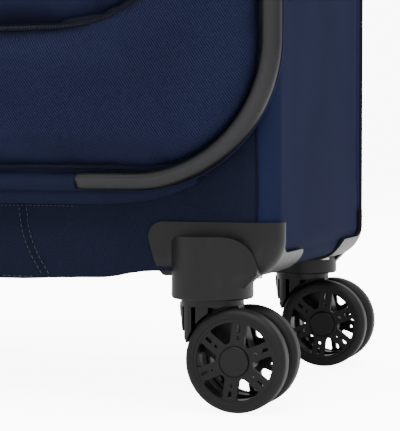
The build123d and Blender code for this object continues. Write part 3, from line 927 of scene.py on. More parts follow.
        def near(reach: float) -> list[bmesh.types.BMFace]:
            """Faces at the top whose middle is within a reach of either tube's axis."""
            found = []
            for face in shape.faces:
                x, y, z = face.calc_center_median()
                if z > top and abs(abs(x) - across) < reach and abs(y - deep) < reach:
                    found.append(face)
            return found

        planes = [((0.0, y, 0.0), (0.0, 1.0, 0.0)) for y in (deep - room, deep + room)]
        planes += [
            ((x, 0.0, 0.0), (1.0, 0.0, 0.0))
            for x in (room - across, -across - room, across - room, across + room)
        ]
        for place, normal in planes:
            faces = near(nearby)
            edges = dict.fromkeys(edge for face in faces for edge in face.edges)
            verts = dict.fromkeys(vert for face in faces for vert in face.verts)
            geom = [*verts, *edges, *faces]
            bmesh.ops.bisect_plane(shape, geom=geom, plane_co=place, plane_no=normal, dist=1e-6)
        bmesh.ops.delete(shape, geom=near(room), context="FACES")
        shape.to_mesh(piece.data)
        shape.free()

    def seams(self) -> bpy.types.Object:
        """Dark seam cords between the front edge band and the lower front, from the housings up."""
        skin = Skin()
        z = np.linspace(SHELL_Z0 + 26 * MM, SHELL_Z1 - 60 * MM, 300)
        for side in (-1, 1):
            x = side * (HALF_W - self.seam_inset + 0.3 * MM * np.sin(z / (9 * MM)))
            line = facing(x, FRONT_Y - 0.25 * MM, z)
            skin.tube(line, disc(self.seam_radius, 8), FORWARD)
        return skin.make("front_seams", self.palette.edge, "case", "fabric_navy")

    def rope(self) -> bpy.types.Object:
        """Sewn rope round the back edge: a round profile along the outline, down to the rear housings."""
        line, _ = rounded_path(
            (-HALF_W + 2.6 * MM, HALF_W - 2.6 * MM, SHELL_Z0 + 2.6 * MM, SHELL_Z1 - 2.6 * MM),
            (self.corner_low - 2.6 * MM, self.corner_top - 2.6 * MM),
            1400,
        )
        keep = line[:, 1] > SHELL_Z0 + 27.5 * MM
        first = int(np.argmax(keep))
        line = line[first : first + int(keep.sum())]
        rope = facing(line[:, 0], BACK_Y - 3.2 * MM, line[:, 1])
        rope = rope + np.array([0, 0.35 * MM, 0]) * ripple(rope[:, 2], rope[:, 0], 90 * MM, 11)[:, None]
        # The back rope takes the darker edge cloth: painted shade at the back edge.
        piece = Skin().tube(rope, disc(3.7 * MM, 14), np.array([0.0, 1.0, 0.0])).make(
            "back_rope", self.palette.edge, "case", "fabric_navy"
        )
        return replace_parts(piece, "body_piping")

    def back(self) -> bpy.types.Object:
        """Cloth over the back board: outlines shrinking to the middle, slightly full, with a sewn edge."""
        box = grown((-HALF_W, HALF_W, SHELL_Z0, SHELL_Z1), -self.rim + 0.3 * MM)
        radii = (self.corner_low - self.rim + 4 * MM, self.corner_top - self.rim)
        line, _ = rounded_path(box, radii, 360)
        shrink = np.concatenate([[1.0, 0.9985, 0.997, 0.994, 0.988, 0.982], np.linspace(0.97, 0.004, 50)])
        middle = np.array([0.0, (box[2] + box[3]) / 2])
        rings = middle + (line - middle) * shrink[:, None, None]
        x, z = rings[..., 0], rings[..., 1]
        depth = edge_distance(x, z, box, radii)
        full = 1.6 * MM * smooth(depth, 0.0, 7 * MM) + 1.2 * MM * smooth(depth, 0, 120 * MM)
        groove = -1.0 * MM * np.exp(-(((np.abs(x) - self.back_seam) / (1.6 * MM)) ** 2))
        groove = groove * smooth(depth, 2 * MM, 9 * MM)
        face = facing(x, BACK_Y - 1.0 * MM + full + groove + 0.5 * MM * ripple(x, z, 150 * MM, 21), z)
        inner = facing(x, np.full_like(x, BACK_Y - 3.8 * MM), z)
        grid = np.concatenate([inner[::-1], face])
        uv = wrapped(grid[:, :, [0, 2]])
        skin = Skin().grid(grid, uv, False, True, True)
        piece = skin.make("back_cover", self.palette.side, "case", "fabric_navy")
        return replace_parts(piece, "back_panel")

    def low_front(self) -> bpy.types.Object:
        """Lower front panel: a soft belly that hangs below the body's foot in the middle.

        The panel is a grid across (u) and up (v). Its front stands off the board by a bulge that is a sine up
        the panel times a plateau across it; the two curved seams press a groove into it.

        Returns:
            The piece.
        """
        half = HALF_W - self.rim + 0.6 * MM
        top = SHELL_Z0 + 110 * MM
        u = np.linspace(-1.0, 1.0, 380)[:, None]
        v = np.linspace(0.0, 1.0, 110)[None, :]
        x = half * np.sin(u * math.pi / 2 * 0.999) * 0.25 + half * u * 0.75
        sag = np.interp(np.abs(x) / MM, SAG_AT, SAG_BY) * MM
        foot = SHELL_Z0 + 1.5 * MM - sag + 9 * MM * smooth(np.abs(x), half - 16 * MM, half)
        z = foot + (top - foot) * v
        bulge = self.belly(z)
        edge_in = smooth(half - np.abs(x), 0.0, 7 * MM)
        foot_band = 1 - smooth(z, SHELL_Z0 + 30 * MM, SHELL_Z0 + 40 * MM)
        clear = 1 - smooth(np.abs(x), 112 * MM, 132 * MM) * foot_band
        stand = 0.7 * MM * edge_in + 2.0 * MM * bulge * edge_in * clear
        seam_x = self.seam_x(z)
        groove = np.exp(-(((np.abs(x) - seam_x) / (1.5 * MM)) ** 2))
        groove = groove * (1 - smooth(z, SHELL_Z0 + 42 * MM, SHELL_Z0 + 50 * MM))
        pucker = 0.3 * MM * ripple(x, z * 0.4, 34 * MM, 31) * edge_in * (0.3 + 0.7 * clear)
        y = FRONT_Y - stand - pucker + 1.3 * MM * groove
        turn = smooth(SHELL_Z0 + 4.0 * MM - sag - z, 0.0, 5 * MM)
        y = y + 5.0 * MM * turn**2
        front = facing(x, y, z)
        inner = facing(x, np.maximum(y + 2.2 * MM, FRONT_Y + 1.2 * MM), z)
        grid = np.concatenate([front, inner[:, ::-1]], 1)
        uv_line = grid[:, :, [0, 2]] + np.array([0.0, 1.0]) * (grid[:, :, 1:2] - FRONT_Y)
        uv = wrapped(uv_line)
        skin = Skin().grid(grid, uv, False, True, True)
        # The lower front takes the darker twill copy: painted shade under the pocket.
        piece = skin.make("low_front", self.palette.low, "case", "fabric_navy")
        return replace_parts(piece, "lower_front_panel")

    def belly(self, z: Array) -> Array:
        """How full the lower front is at each height, 0 to 1: a sine, cut off under the lid's fold."""
        full = np.sin(math.pi * smooth(z, SHELL_Z0 - 12 * MM, SHELL_Z0 + 44 * MM)) ** 0.7
        return full * (1 - smooth(z, SHELL_Z0 + 22 * MM, SHELL_Z0 + 36 * MM))

    def seam_x(self, z: Array) -> Array:
        """Distance of the curved seams from the middle: narrow at the top, flaring towards the foot."""
        t = np.clip((SHELL_Z0 + 39 * MM - z) / (44 * MM), 0.0, 1.0)
        return 54.7 * MM + 16.5 * MM * t**1.8

    def threads(self) -> bpy.types.Object:
        """Stitching of the lower front panel's curved seams and its foot: rows of short beads."""
        skin = Skin()
        z = np.linspace(SHELL_Z0 + 38 * MM, SHELL_Z0 - 5 * MM, 60)
        surface = FRONT_Y - 0.85 * MM - 2.0 * MM * self.belly(z)
        for side in (-1, 1):
            for off in (-2.4 * MM, 2.4 * MM):
                line = facing(side * (self.seam_x(z) + off), surface, z)
                stitches(skin, line, FORWARD, 2.3 * MM, 1.1 * MM, 0.28 * MM)
        x = np.linspace(-64 * MM, 64 * MM, 40)
        foot = facing(x, np.full_like(x, FRONT_Y - 1.6 * MM), np.full_like(x, SHELL_Z0 - 4.2 * MM))
        stitches(skin, foot, FORWARD, 2.3 * MM, 1.3 * MM, 0.26 * MM)
        return skin.make("front_stitching", self.palette.thread, "case", "fabric_navy")

    def lining(self) -> bpy.types.Object:
        """Loose lining of the compartment, open to the front.

        Rings of a rounded outline run out over the back, forward along the outside to the mouth, home along the
        inside and in over the back again; slack waves push only the inside inwards.

        Returns:
            The piece.
        """
        low, high = (np.array(corner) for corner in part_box("lining"))
        box = (low[0], high[0], low[2], high[2])
        radii = (14 * MM, 44 * MM)
        line, _ = rounded_path(box, radii, 420)
        middle = np.array([0.0, (box[2] + box[3]) / 2])
        inner_line, _ = rounded_path(grown(box, -1.2 * MM), (radii[0] - 1.2 * MM, radii[1] - 1.2 * MM), 420)
        back = np.linspace(0.004, 1.0, 40)
        wall = np.linspace(high[1], low[1], 40)
        rows = [(line, s, high[1], 0.0) for s in back[:-1]] + [(line, 1.0, y, 0.0) for y in wall]
        rows += [(inner_line, 1.0, y, 1.0) for y in wall[::-1][:-1]]
        rows += [(inner_line, s, high[1] - 1.2 * MM, 1.0) for s in back[::-1]]
        rings = []
        for ring, shrink, y, slack in rows:
            flat = middle + (ring - middle) * shrink
            deep = smooth(np.array(y), low[1] + 4 * MM, low[1] + 40 * MM) * slack
            wave = deep * 1.6 * MM * (0.9 + ripple(flat[:, 0] * 1.3 + y, flat[:, 1] - y, 120 * MM, 91))
            toward = (middle - flat) / np.maximum(np.linalg.norm(middle - flat, axis=1, keepdims=True), 1e-6)
            side = smooth(np.array(shrink), 0.9, 1.0)
            flat = flat + toward * (wave * side)[:, None]
            hollow = wave * 0.6 * (1 - side) * smooth(np.array(y), 60 * MM, 70 * MM)
            rings.append(facing(flat[:, 0], y - hollow, flat[:, 1]))
        grid = np.stack(rings)
        uv_line = grid[:, :, [0, 2]] + grid[:, :, 1:2]
        uv = wrapped(uv_line)
        skin = Skin().grid(grid, uv, False, True, True)
        piece = skin.make("loose_lining", self.palette.lining, "case", "lining_grey")
        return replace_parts(piece, "lining")

    def straps(self) -> bpy.types.Object:
        """Packing straps: thin webbing from both sides of the compartment to the buckles."""
        low, high = (np.array(corner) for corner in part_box("packing_straps"))
        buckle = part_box("strap_buckles")[1][0]
        skin = Skin()
        for z in (low[2] + 12.5 * MM, high[2] - 12.5 * MM):
            for side in (-1, 1):
                x = side * np.linspace(buckle - 1.5 * MM, high[0] - 2 * MM, 60)
                sag = 0.5 * MM * (1 + ripple(x, z + 0 * x, 90 * MM, 93))
                line = facing(x, high[1] - sag - 2.2 * MM * smooth(np.abs(x), 0.03, 0.1), z)
                skin.tube(line, strip(24.5 * MM, 1.2 * MM), FORWARD)
        piece = skin.make("webbing_straps", self.palette.webbing, "case", "webbing")
        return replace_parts(piece, "packing_straps")

    def main_zip(self) -> bpy.types.Object:
        """Tape, coil and pulls of the main zip, on the body's front rim; the pulls hang in the lock."""
        low, high = (np.array(corner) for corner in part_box("main_zip"))
        half_tape = 2.75 * MM
        inset = 209.7 * MM - half_tape
        middle = (-inset, inset, low[2] + half_tape, high[2] - half_tape)
        line, _ = rounded_path(middle, (76 * MM, 52 * MM), 900)
        keep = (line[:, 1] > 180 * MM) | (np.abs(line[:, 0]) > 135 * MM)
        first = int(np.argmax(keep))
        line = line[first : first + int(keep.sum())]
        run = facing(line[:, 0], FRONT_Y + 0.2 * MM, line[:, 1])
        skin = Skin().tube(run, strip(5.4 * MM, 0.6 * MM), FORWARD)
        coil = run - np.array([0.0, 0.6 * MM, 0.0])
        beads = even_line(coil, 0.8 * MM)
        width = 0.5 * MM + 0.12 * MM * np.sin(np.arange(len(beads)) * math.pi)[:, None, None]
        skin.tube(beads, disc(1.0, 6)[None] * width, FORWARD)
        piece = skin.make("main_zip_tape", self.palette.tape, "case", "zip_tape")
        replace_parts(piece, "main_zip")
        pulls = Skin()
        lock_low, lock_high = (np.array(corner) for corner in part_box("lock_body"))
        centre = (lock_low[2] + lock_high[2]) / 2
        for rise in (-20 * MM, 24 * MM):
            reach = np.linspace(FRONT_Y + 12 * MM, lock_low[1] + 6 * MM, 16)
            pull = facing(HALF_W + 0.2 * MM, reach, centre + rise)
            pulls.tube(pull, strip(5.0 * MM, 1.5 * MM), np.array([1.0, 0.0, 0.0]))
        pulls.make("main_zip_pulls", self.palette.gunmetal, "case", "zip_metal")
        return piece

    def build(self) -> None:
        """Makes every piece of the cloth body."""
        self.lining()
        self.straps()
        self.main_zip()
        self.cover()
        self.rope()
        self.back()
        self.low_front()
        self.threads()
        self.seams()


# ------------------------------------------------------------------ lid
@dataclass
class Lid:
    """Lid board, padded pockets, edge guards, ropes, fold and zips."""

    palette: Palette
    voxel: float = 4.6 * MM
    pressure: float = 3.5
    swell_cap: float = 3.2 * MM
    frames: int = 20

    def cushion_height(self, depth: Array, reach: float, thick: float) -> Array:
        """Quarter-ellipse shoulder over the first reach of depth, flat beyond it."""
        t = np.clip(depth / reach, 0.0, 1.0)
        return thick * np.sqrt(np.maximum(1 - (1 - t) ** 2, 0.0))

    def stuff(self, skin: Skin, name: str, seed: int) -> bpy.types.Object:
        """Turns a cushion's closed grid into sewn, filled cloth.

        The grid is remeshed to even voxels, blown up by cloth pressure with its back held, each point's move is
        capped, and one subdivision smooths the result.

        Args:
            skin: The cushion's surface.
            name: Piece name.
            seed: Picks the cloth's slow waves.

        Returns:
            The piece.
        """
        raw = skin.make(name + "_raw", self.palette.front, "lid", "padded_navy")
        mesh = raw.data
        remesh = raw.modifiers.new("Remesh", "REMESH")
        remesh.mode, remesh.voxel_size, remesh.use_smooth_shade = "VOXEL", self.voxel, True
        mesh = self.applied(raw)
        raw.modifiers.clear()
        raw.data = mesh
        start = self.positions(mesh)
        held = raw.vertex_groups.new(name="held")
        back = np.flatnonzero(start[:, 1] > LID_Y - 2.5 * MM)
        held.add(back.tolist(), 1.0, "REPLACE")
        cloth = raw.modifiers.new("Cloth", "CLOTH")
        cloth.settings.quality = 4
        cloth.settings.mass = 0.25
        cloth.settings.vertex_group_mass = "held"
        cloth.settings.use_pressure = True
        cloth.settings.uniform_pressure_force = self.pressure
        cloth.settings.tension_stiffness = cloth.settings.compression_stiffness = 12.0
        cloth.settings.bending_stiffness = 0.4
        cloth.settings.shrink_min = -0.012
        cloth.settings.effector_weights.gravity = 0.0
        cloth.point_cache.frame_start, cloth.point_cache.frame_end = 1, self.frames
        for number in range(1, self.frames + 1):
            bpy.context.scene.frame_set(number)
        mesh = self.applied(raw)
        moved = self.positions(mesh) - start
        length = np.linalg.norm(moved, axis=1, keepdims=True)
        moved *= np.minimum(1.0, self.swell_cap / np.maximum(length, 1e-9))
        points = start + moved
        bpy.context.scene.frame_set(1)
        x, y, z = points.T
        front = smooth(LID_Y - y, 3 * MM, 10 * MM)
        points[:, 1] -= 0.55 * MM * ripple(x, z, 95 * MM, seed) * front
        points[:, 1] = np.clip(points[:, 1], POCKET_Y - 2.5 * MM, LID_Y)
        mesh.vertices.foreach_set("co", points.astype(np.float32).ravel())
        bpy.data.objects.remove(raw)
        piece = self.weave(name, mesh)
        return piece

    def applied(self, piece: bpy.types.Object) -> bpy.types.Mesh:
        """The piece's mesh with its modifiers worked in."""
        graph = bpy.context.evaluated_depsgraph_get()
        return bpy.data.meshes.new_from_object(piece.evaluated_get(graph), depsgraph=graph)

    def positions(self, mesh: bpy.types.Mesh) -> Array:
        """Vertex positions of a mesh, (n, 3)."""
        flat = np.zeros(len(mesh.vertices) * 3, np.float32)
        mesh.vertices.foreach_get("co", flat)
        return flat.reshape(-1, 3).astype(float)

    def weave(self, name: str, mesh: bpy.types.Mesh) -> bpy.types.Object:
        """Lays the cloth's coordinates over a cushion: flat in front, run on down its sides by depth."""
        points = self.positions(mesh)
        corner = np.zeros(len(mesh.loops), np.int32)
        mesh.loops.foreach_get("vertex_index", corner)
        outward = np.sign(points[:, [0, 2]] - np.array([0, 0.38]))
        uv = points[:, [0, 2]] + (points[:, 1:2] - LID_Y) * outward * 0.6
        for layer in list(mesh.uv_layers):
            mesh.uv_layers.remove(layer)
        mesh.uv_layers.new(name="weave").data.foreach_set("uv", uv[corner].astype(np.float32).ravel())
        mesh.polygons.foreach_set("use_smooth", np.ones(len(mesh.polygons), bool))
        mesh.materials.clear()
        mesh.materials.append(self.palette.front)
        mesh.name = name
        return dress(name, mesh, "lid", 1)

    def lower_pocket(self) -> bpy.types.Object:
        """Cushion round the upper pocket: rings between two outlines, standing off the lid by a rounded height.

        Height is a quarter ellipse of the depth in from the outer edge times one of the depth in from the upper
        pocket's edge, so that the lip at the valley rolls over.

        Returns:
            The piece.
        """
        outer_box, inner_box = grown(GUARD_BOX, -GUARD_W / 2 - 0.6 * MM), grown(UPPER_BOX, 1.6 * MM)
        outer_r = (GUARD_RADII[0] - 7 * MM, GUARD_RADII[1] - 7 * MM)
        inner_r = (UPPER_RADII[0] + 3 * MM, UPPER_RADII[1] + 3 * MM)
        outer, _ = rounded_path(outer_box, outer_r, 520)
        inner, _ = rounded_path(inner_box, inner_r, 520)
        t = (1 - np.cos(np.linspace(0.0, math.pi, 46))) / 2
        rings = outer[:, None] + (inner - outer)[:, None] * t[None, :, None]
        x, z = rings[..., 0], rings[..., 1]
        from_edge = edge_distance(x, z, outer_box, outer_r)
        from_valley = -edge_distance(x, z, inner_box, inner_r)
        thick = LID_Y - POCKET_Y
        height = self.cushion_height(from_edge, 26 * MM, 1.0) * self.cushion_height(from_valley, 9 * MM, 1.0)
        low = smooth(UPPER_BOX[2] + 40 * MM - z, 0.0, 60 * MM)
        lean = 1.0 - 0.16 * low * smooth(z, SHELL_Z0 + 100 * MM, UPPER_BOX[2])
        height = thick * height * (0.9 + 0.1 * low) * lean + 0.2 * MM
        front = facing(x, LID_Y - height, z)
        back = facing(x, np.full_like(x, LID_Y), z)
        grid = np.concatenate([front, back[:, ::-1]], 1)
        uv = np.zeros((grid.shape[0] + 1, grid.shape[1] + 1, 2))
        piece = self.stuff(Skin().grid(grid, uv, True, True), "lower_cushion", 41)
        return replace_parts(piece, "lower_pocket")

    def upper_pocket(self) -> bpy.types.Object:
        """Upper cushion: outlines shrinking to the middle, with a rounded shoulder and a low crown."""
        box = grown(UPPER_BOX, -0.6 * MM)
        outline, _ = rounded_path(box, UPPER_RADII, 420)
        middle = np.array([(box[0] + box[1]) / 2, (box[2] + box[3]) / 2])
        shrink = np.concatenate([1 - 0.12 * np.linspace(0, 1, 22) ** 1.6, np.linspace(0.86, 0.01, 46)])
        rings = middle + (outline - middle) * shrink[:, None, None]
        x, z = rings[..., 0], rings[..., 1]
        depth = edge_distance(x, z, box, UPPER_RADII)
        thick = float(LID_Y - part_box("upper_pocket")[0][1])
        height = self.cushion_height(depth, 22 * MM, thick * 0.93)
        height = height + 0.8 * MM * smooth(depth, 20 * MM, 150 * MM)
        face = facing(x, LID_Y - height - 0.2 * MM, z)
        back = facing(x, np.full_like(x, LID_Y), z)
        grid = np.concatenate([back[::-1], face])
        uv = np.zeros((grid.shape[0], grid.shape[1] + 1, 2))
        piece = self.stuff(Skin().grid(grid, uv, False, True, True), "upper_cushion", 43)
        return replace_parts(piece, "upper_pocket")

    def board(self) -> bpy.types.Object:
        """Cloth-covered lid board with a sewn edge; its inside shows when the lid is down."""
        box = grown(GUARD_BOX, -1.0 * MM)
        line, _ = rounded_path(box, (GUARD_RADII[0] - MM, GUARD_RADII[1] - MM), 420)
        tongue = (np.abs(line[:, 0]) < 150 * MM) & (line[:, 1] < 0.2)
        drop = (1 - smooth(np.abs(line[:, 0]), 100 * MM, 140 * MM)) * (line[:, 1] - LID_LO[2] - 4.0 * MM)
        line[:, 1] -= np.where(tongue, drop, 0.0)
        shrink = np.concatenate([[1.0, 0.9985, 0.996, 0.99, 0.98], np.linspace(0.965, 0.004, 44)])
        middle = np.array([0.0, (box[2] + box[3]) / 2])
        rings = middle + (line - middle) * shrink[:, None, None]
        x, z = rings[..., 0], rings[..., 1]
        depth = edge_distance(x, z, box, GUARD_RADII)
        back_y = LID_HI[1]
        inside = 0.9 * MM * (1 - smooth(depth, 0.0, 5 * MM)) + 0.25 * MM * ripple(x, z, 130 * MM, 51)
        face = facing(x, back_y - 0.5 * MM - inside, z)
        front = facing(x, np.full_like(x, LID_LO[1] + 0.2 * MM), z)
        grid = np.concatenate([front[::-1], face])
        uv = wrapped(grid[:, :, [0, 2]])
        skin = Skin().grid(grid, uv, False, True, True)
        piece = skin.make("lid_board", self.palette.tape, "lid", "fabric_navy")
        piece.data.materials.append(self.palette.lining)
        facing_out = np.zeros(len(piece.data.polygons) * 3, np.float32)
        piece.data.polygons.foreach_get("normal", facing_out)
        inner = (facing_out.reshape(-1, 3)[:, 1] > 0.5).astype(np.int32)
        piece.data.polygons.foreach_set("material_index", inner)
        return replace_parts(piece, "lid_panel")

    def path(self, grow: float, count: int, y: float) -> tuple[Array, Array]:
        """The guard's middle line, grown outwards, as points in space and normals in the same plane."""
        radii = (GUARD_RADII[0] + grow, GUARD_RADII[1] + grow)
        line, normal = rounded_path(grown(GUARD_BOX, grow), radii, count)
        return facing(line[:, 0], y, line[:, 1]), facing(normal[:, 0], 0.0, normal[:, 1])

    def guards(self) -> None:
        """Rubber edge guards: a profile with its crest near the inner side, carried along the edge."""
        base = LID_Y - 0.9 * MM
        line, normal = self.path(0.0, 1200, base)
        steep = [(5.4, 0.0), (5.5, 4.8), (5.2, 7.2), (4.4, 9.0), (3.2, 10.2), (1.9, 10.6), (0.6, 10.4)]
        slope = [(-0.4, 9.7), (-1.1, 9.3), (-2.4, 8.7), (-3.7, 7.7), (-4.7, 6.3), (-5.3, 4.4), (-5.5, 2.2)]
        crest = np.array([*steep, *slope, (-5.4, 0.0)])
        for side, name in ((1, "guard_right"), (-1, "guard_left")):
            keep = line[:, 0] * side > GUARD_END
            start = int(np.argmax(~keep))
            order = (np.arange(len(line)) + start) % len(line)
            order = order[keep[order]]
            run = line[order]
            inside = np.sign(np.sum(np.cross(FORWARD, run[1] - run[0]) * normal[order][0]))
            profile = crest * MM * np.array([-inside, 1.0])
            thin = np.minimum(1.0, 0.9 + np.minimum(np.arange(len(run)), np.arange(len(run))[::-1]) * 0.05)
            profile = profile[None] * np.stack([thin, thin], 1)[:, None]
            skin = Skin().tube(run, profile, FORWARD)
            piece = skin.make(name + "_rubber", self.palette.guard, "lid", "guard_rubber")
            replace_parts(piece, name)

    def ropes(self) -> None:
        """Cloth flange under the guards, and the rope that carries on between their ends."""
        skin = Skin()
        line, _ = self.path(0.0, 900, LID_Y - 1.3 * MM)
        wave = 0.35 * MM * ripple(line[:, 0], line[:, 2], 50 * MM, 61)
        outer = [(6.2, 1.2), (6.9, 0.8), (6.9, 0.3), (6.2, 0.0)]
        flat = np.array([(-6.0, 0.0), (-6.0, 1.1), (-2.0, 1.3), (3.0, 1.3), *outer])
        profile = np.broadcast_to(flat * MM, (len(line), 8, 2)).copy()
        profile[:, 4:7, 0] += wave[:, None]
        skin.tube(line, profile, FORWARD, True)
        for z in (GUARD_BOX[2], GUARD_BOX[3]):
            x = np.linspace(-GUARD_END - 0.3 * MM, GUARD_END + 0.3 * MM, 150)
            sway = 0.3 * MM * ripple(x, 0 * x, 70 * MM, 63)
            rope = facing(x, LID_Y - 6.1 * MM, z + sway)
            skin.tube(rope, disc(4.55 * MM, 16), FORWARD)
        piece = skin.make("lid_rope", self.palette.rope, "lid", "fabric_navy")
        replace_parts(piece, "lid_piping")

    def fold(self) -> None:
        """Fold of cloth that hinges the lid: a soft roll below the rope that thins out to both sides."""
        joint = joint_place("lid_hinge")
        half = 166 * MM
        x = np.linspace(-half, half, 300)[:, None]
        full = 1 - smooth(np.abs(x), 104 * MM, half)
        t = np.linspace(0.0, 1.0, 30)[None, :]
        bend = np.maximum(np.abs(x) - GUARD_BOX[1] + GUARD_RADII[0], 0.0)
        arc = GUARD_RADII[0] - np.sqrt(GUARD_RADII[0] ** 2 - bend**2)
        z_top, z_low = GUARD_BOX[2] - 2.0 * MM + arc, joint[2] - 2.5 * MM + arc
        z = z_top + (z_low + 4.5 * MM * (1 - full) - z_top) * t
        roll = np.sin(math.pi * np.clip(t * 1.02, 0, 1)) ** 0.7
        stand = (2.8 + (1.2 + 3.4 * full) * roll * (1 - 0.35 * t)) * MM
        stand = stand * (0.35 + 0.65 * (1 - smooth(t, 0.86, 1.0)))
        y = FRONT_Y - 0.8 * MM - stand + 0.2 * MM * ripple(x, z * 3, 60 * MM, 71)
        front = facing(x, y, z + 0 * x)
        back = facing(x, np.full_like(y, FRONT_Y - 1.3 * MM), z)
        grid = np.concatenate([front, back[:, ::-1]], 1)
        uv_line = grid[:, :, [0, 2]]
        uv = wrapped(uv_line)
        skin = Skin().grid(grid, uv, False, True, True)
        piece = skin.make("lid_fold", self.palette.rope, "", "fabric_navy")
        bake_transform(piece)
        skin = Skin()
        seam = facing(np.linspace(-90 * MM, 90 * MM, 60), FRONT_Y - 1.5 * MM, joint[2] - 3.6 * MM)
        stitches(skin, seam, FORWARD, 1.5 * MM, 1.2 * MM, 0.3 * MM)
        skin.make("fold_stitching", self.palette.thread, "case", "fabric_navy")

    def zips(self) -> None:
        """Zip round the upper pocket: two tapes and a coil of small teeth down in the valley."""
        box = grown(UPPER_BOX, 1.5 * MM)
        radii = (UPPER_RADII[0] + 1.5 * MM, UPPER_RADII[1] + 1.5 * MM)
        line, _ = rounded_path(box, radii, 900)
        valley = facing(line[:, 0], LID_Y - 1.5 * MM, line[:, 1])
        tape = Skin().tube(valley, strip(2.6 * MM, 0.7 * MM), FORWARD, True)
        edge, _ = self.path(-5.75 * MM, 900, LID_HI[1] + 0.3 * MM)
        tape.tube(edge, strip(5.0 * MM, 0.7 * MM), np.array([0.0, 1.0, 0.0]), True)
        piece = tape.make("valley_zip_tape", self.palette.tape, "lid", "zip_tape")
        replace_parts(piece, "lid_zips")
        teeth = Skin()
        total = arc_lengths(np.concatenate([line, line[:1]]))[-1]
        place, out = rounded_path(box, radii, int(total / (1.7 * MM)))
        ring = disc(1.0, 6) * np.array([0.5 * MM, 0.45 * MM])
        reach = np.array([-0.95 * MM, 0.95 * MM])
        for spot, away in zip(place, out):
            along = np.array([-away[1], away[0]])
            ends = spot + away * reach[:, None]
            flat = ends[:, None] + along * ring[None, :, :1]
            bar = facing(flat[..., 0], LID_Y - 2.4 * MM + ring[None, :, 1], flat[..., 1])
            teeth.grid(bar, np.zeros((2, 7, 2)), False, True, True)
        teeth.make("valley_zip_teeth", self.palette.coil, "lid", "zip_tape")

    def build(self) -> None:
        """Makes every piece of the lid."""
        self.board()
        self.lower_pocket()
        self.upper_pocket()
        self.guards()
        self.ropes()
        self.fold()
        self.zips()
        for node in ("lower_slider", "upper_slider"):
            paint(node, self.palette.gunmetal)


# ------------------------------------------------------------------ carry handles
@dataclass
class CarryHandle:
    """One carry handle: a padded strap between two legs that slide in the sockets."""

    palette: Palette
    node: str
    origin: Point
    along: Point
    out: Point
    rise: float
    thick: float
    leg_x: float = 97.0 * MM
    half_width: float = 14.8 * MM

    def build(self) -> None:
        """Sweeps the strap along its arch, adds the legs and sews two rows along its edges."""
        origin, along, out = (np.array(v) for v in (self.origin, self.along, self.out))
        span = self.leg_x + 6.8 * MM
        x = np.linspace(-span, span, 160)
        height = 5.0 * MM + (self.rise - 5.0 * MM) * (1 - (x / span) ** 2)
        line = origin + x[:, None] * along + height[:, None] * out
        w, t = self.half_width, self.thick
        angle = np.linspace(0.0, TAU, 40, endpoint=False)
        cosine, sine = np.cos(angle), np.sin(angle)
        sideways = w * np.sign(cosine) * np.abs(cosine) ** 0.35
        upwards = t / 2 + t / 2 * np.sign(sine) * np.abs(sine) ** 0.6
        flat = np.stack([sideways, upwards], 1)
        crown = 1 - 0.10 * smooth(np.abs(x), 0.55 * span, span)
        profile = flat[None] * np.stack([crown, np.ones_like(crown)], 1)[:, None]
        skin = Skin().tube(line, profile, out)
        corner = disc(1.0, 20)
        leg = np.sign(corner) * np.abs(corner) ** 0.4 * np.array([6.9 * MM, 11.8 * MM])
        across = np.cross(out, along)
        for side in (-1, 1):
            steps = np.linspace(-15.0 * MM, 7.0 * MM, 12)
            stand = origin + side * self.leg_x * along + steps[:, None] * out
            rings = stand[:, None] + leg[None, :, :1] * along + leg[None, :, 1:] * across
            skin.grid(rings, np.zeros((12, 21, 2)), False, True, True)
        name = self.node.replace("_handle", "_strap")
        piece = skin.make(name, self.palette.webbing, self.node, "webbing")
        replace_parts(piece, self.node)
        sewing = Skin()
        for side in (-1, 1):
            row = line[6:-6] + side * (w - 3.0 * MM) * across + (t - 0.25 * MM) * out
            stitches(sewing, row, out, 2.6 * MM, 1.3 * MM, 0.3 * MM)
        sewing.make(name + "_stitching", self.palette.thread, self.node, "webbing")


# ------------------------------------------------------------------ hard parts
@dataclass
class HardParts:
    """CAD parts whose shape is right: casters, tubes, grip, sockets and lock."""

    palette: Palette

    def build(self) -> None:
        """Gives each CAD part its finish."""
        p = self.palette
        starts = {
            "housing_f": p.housing,
            "housing_r": p.housing,
            "fork_": p.fork,
            "hub_": p.hub,
            "tyre_": p.tyre,
        }
        names = {
            "swivel_pins": p.steel,
            "housing_screws": p.steel,
            "rim_wire": p.steel,
            "base_tray": p.trim,
            "tube_sockets": p.trim,
            "trolley_bezel": p.trim,
            "handle_sockets": p.trim,
            "outer_tubes": p.tube,
            "middle_tubes": p.tube,
            "inner_tubes": p.tube,
            "grip": p.grip,
            "grip_button": p.button,
            "lock_body": p.trim,
            "lock_button": p.button,
            "lock_dial_1": p.button,
            "lock_dial_2": p.button,
            "lock_dial_3": p.button,
            "strap_buckles": p.trim,
        }
        for node in frame["nodes"]:
            for start, material in starts.items():
                if node.startswith(start):
                    paint(node, material)
            if node in names:
                paint(node, names[node])


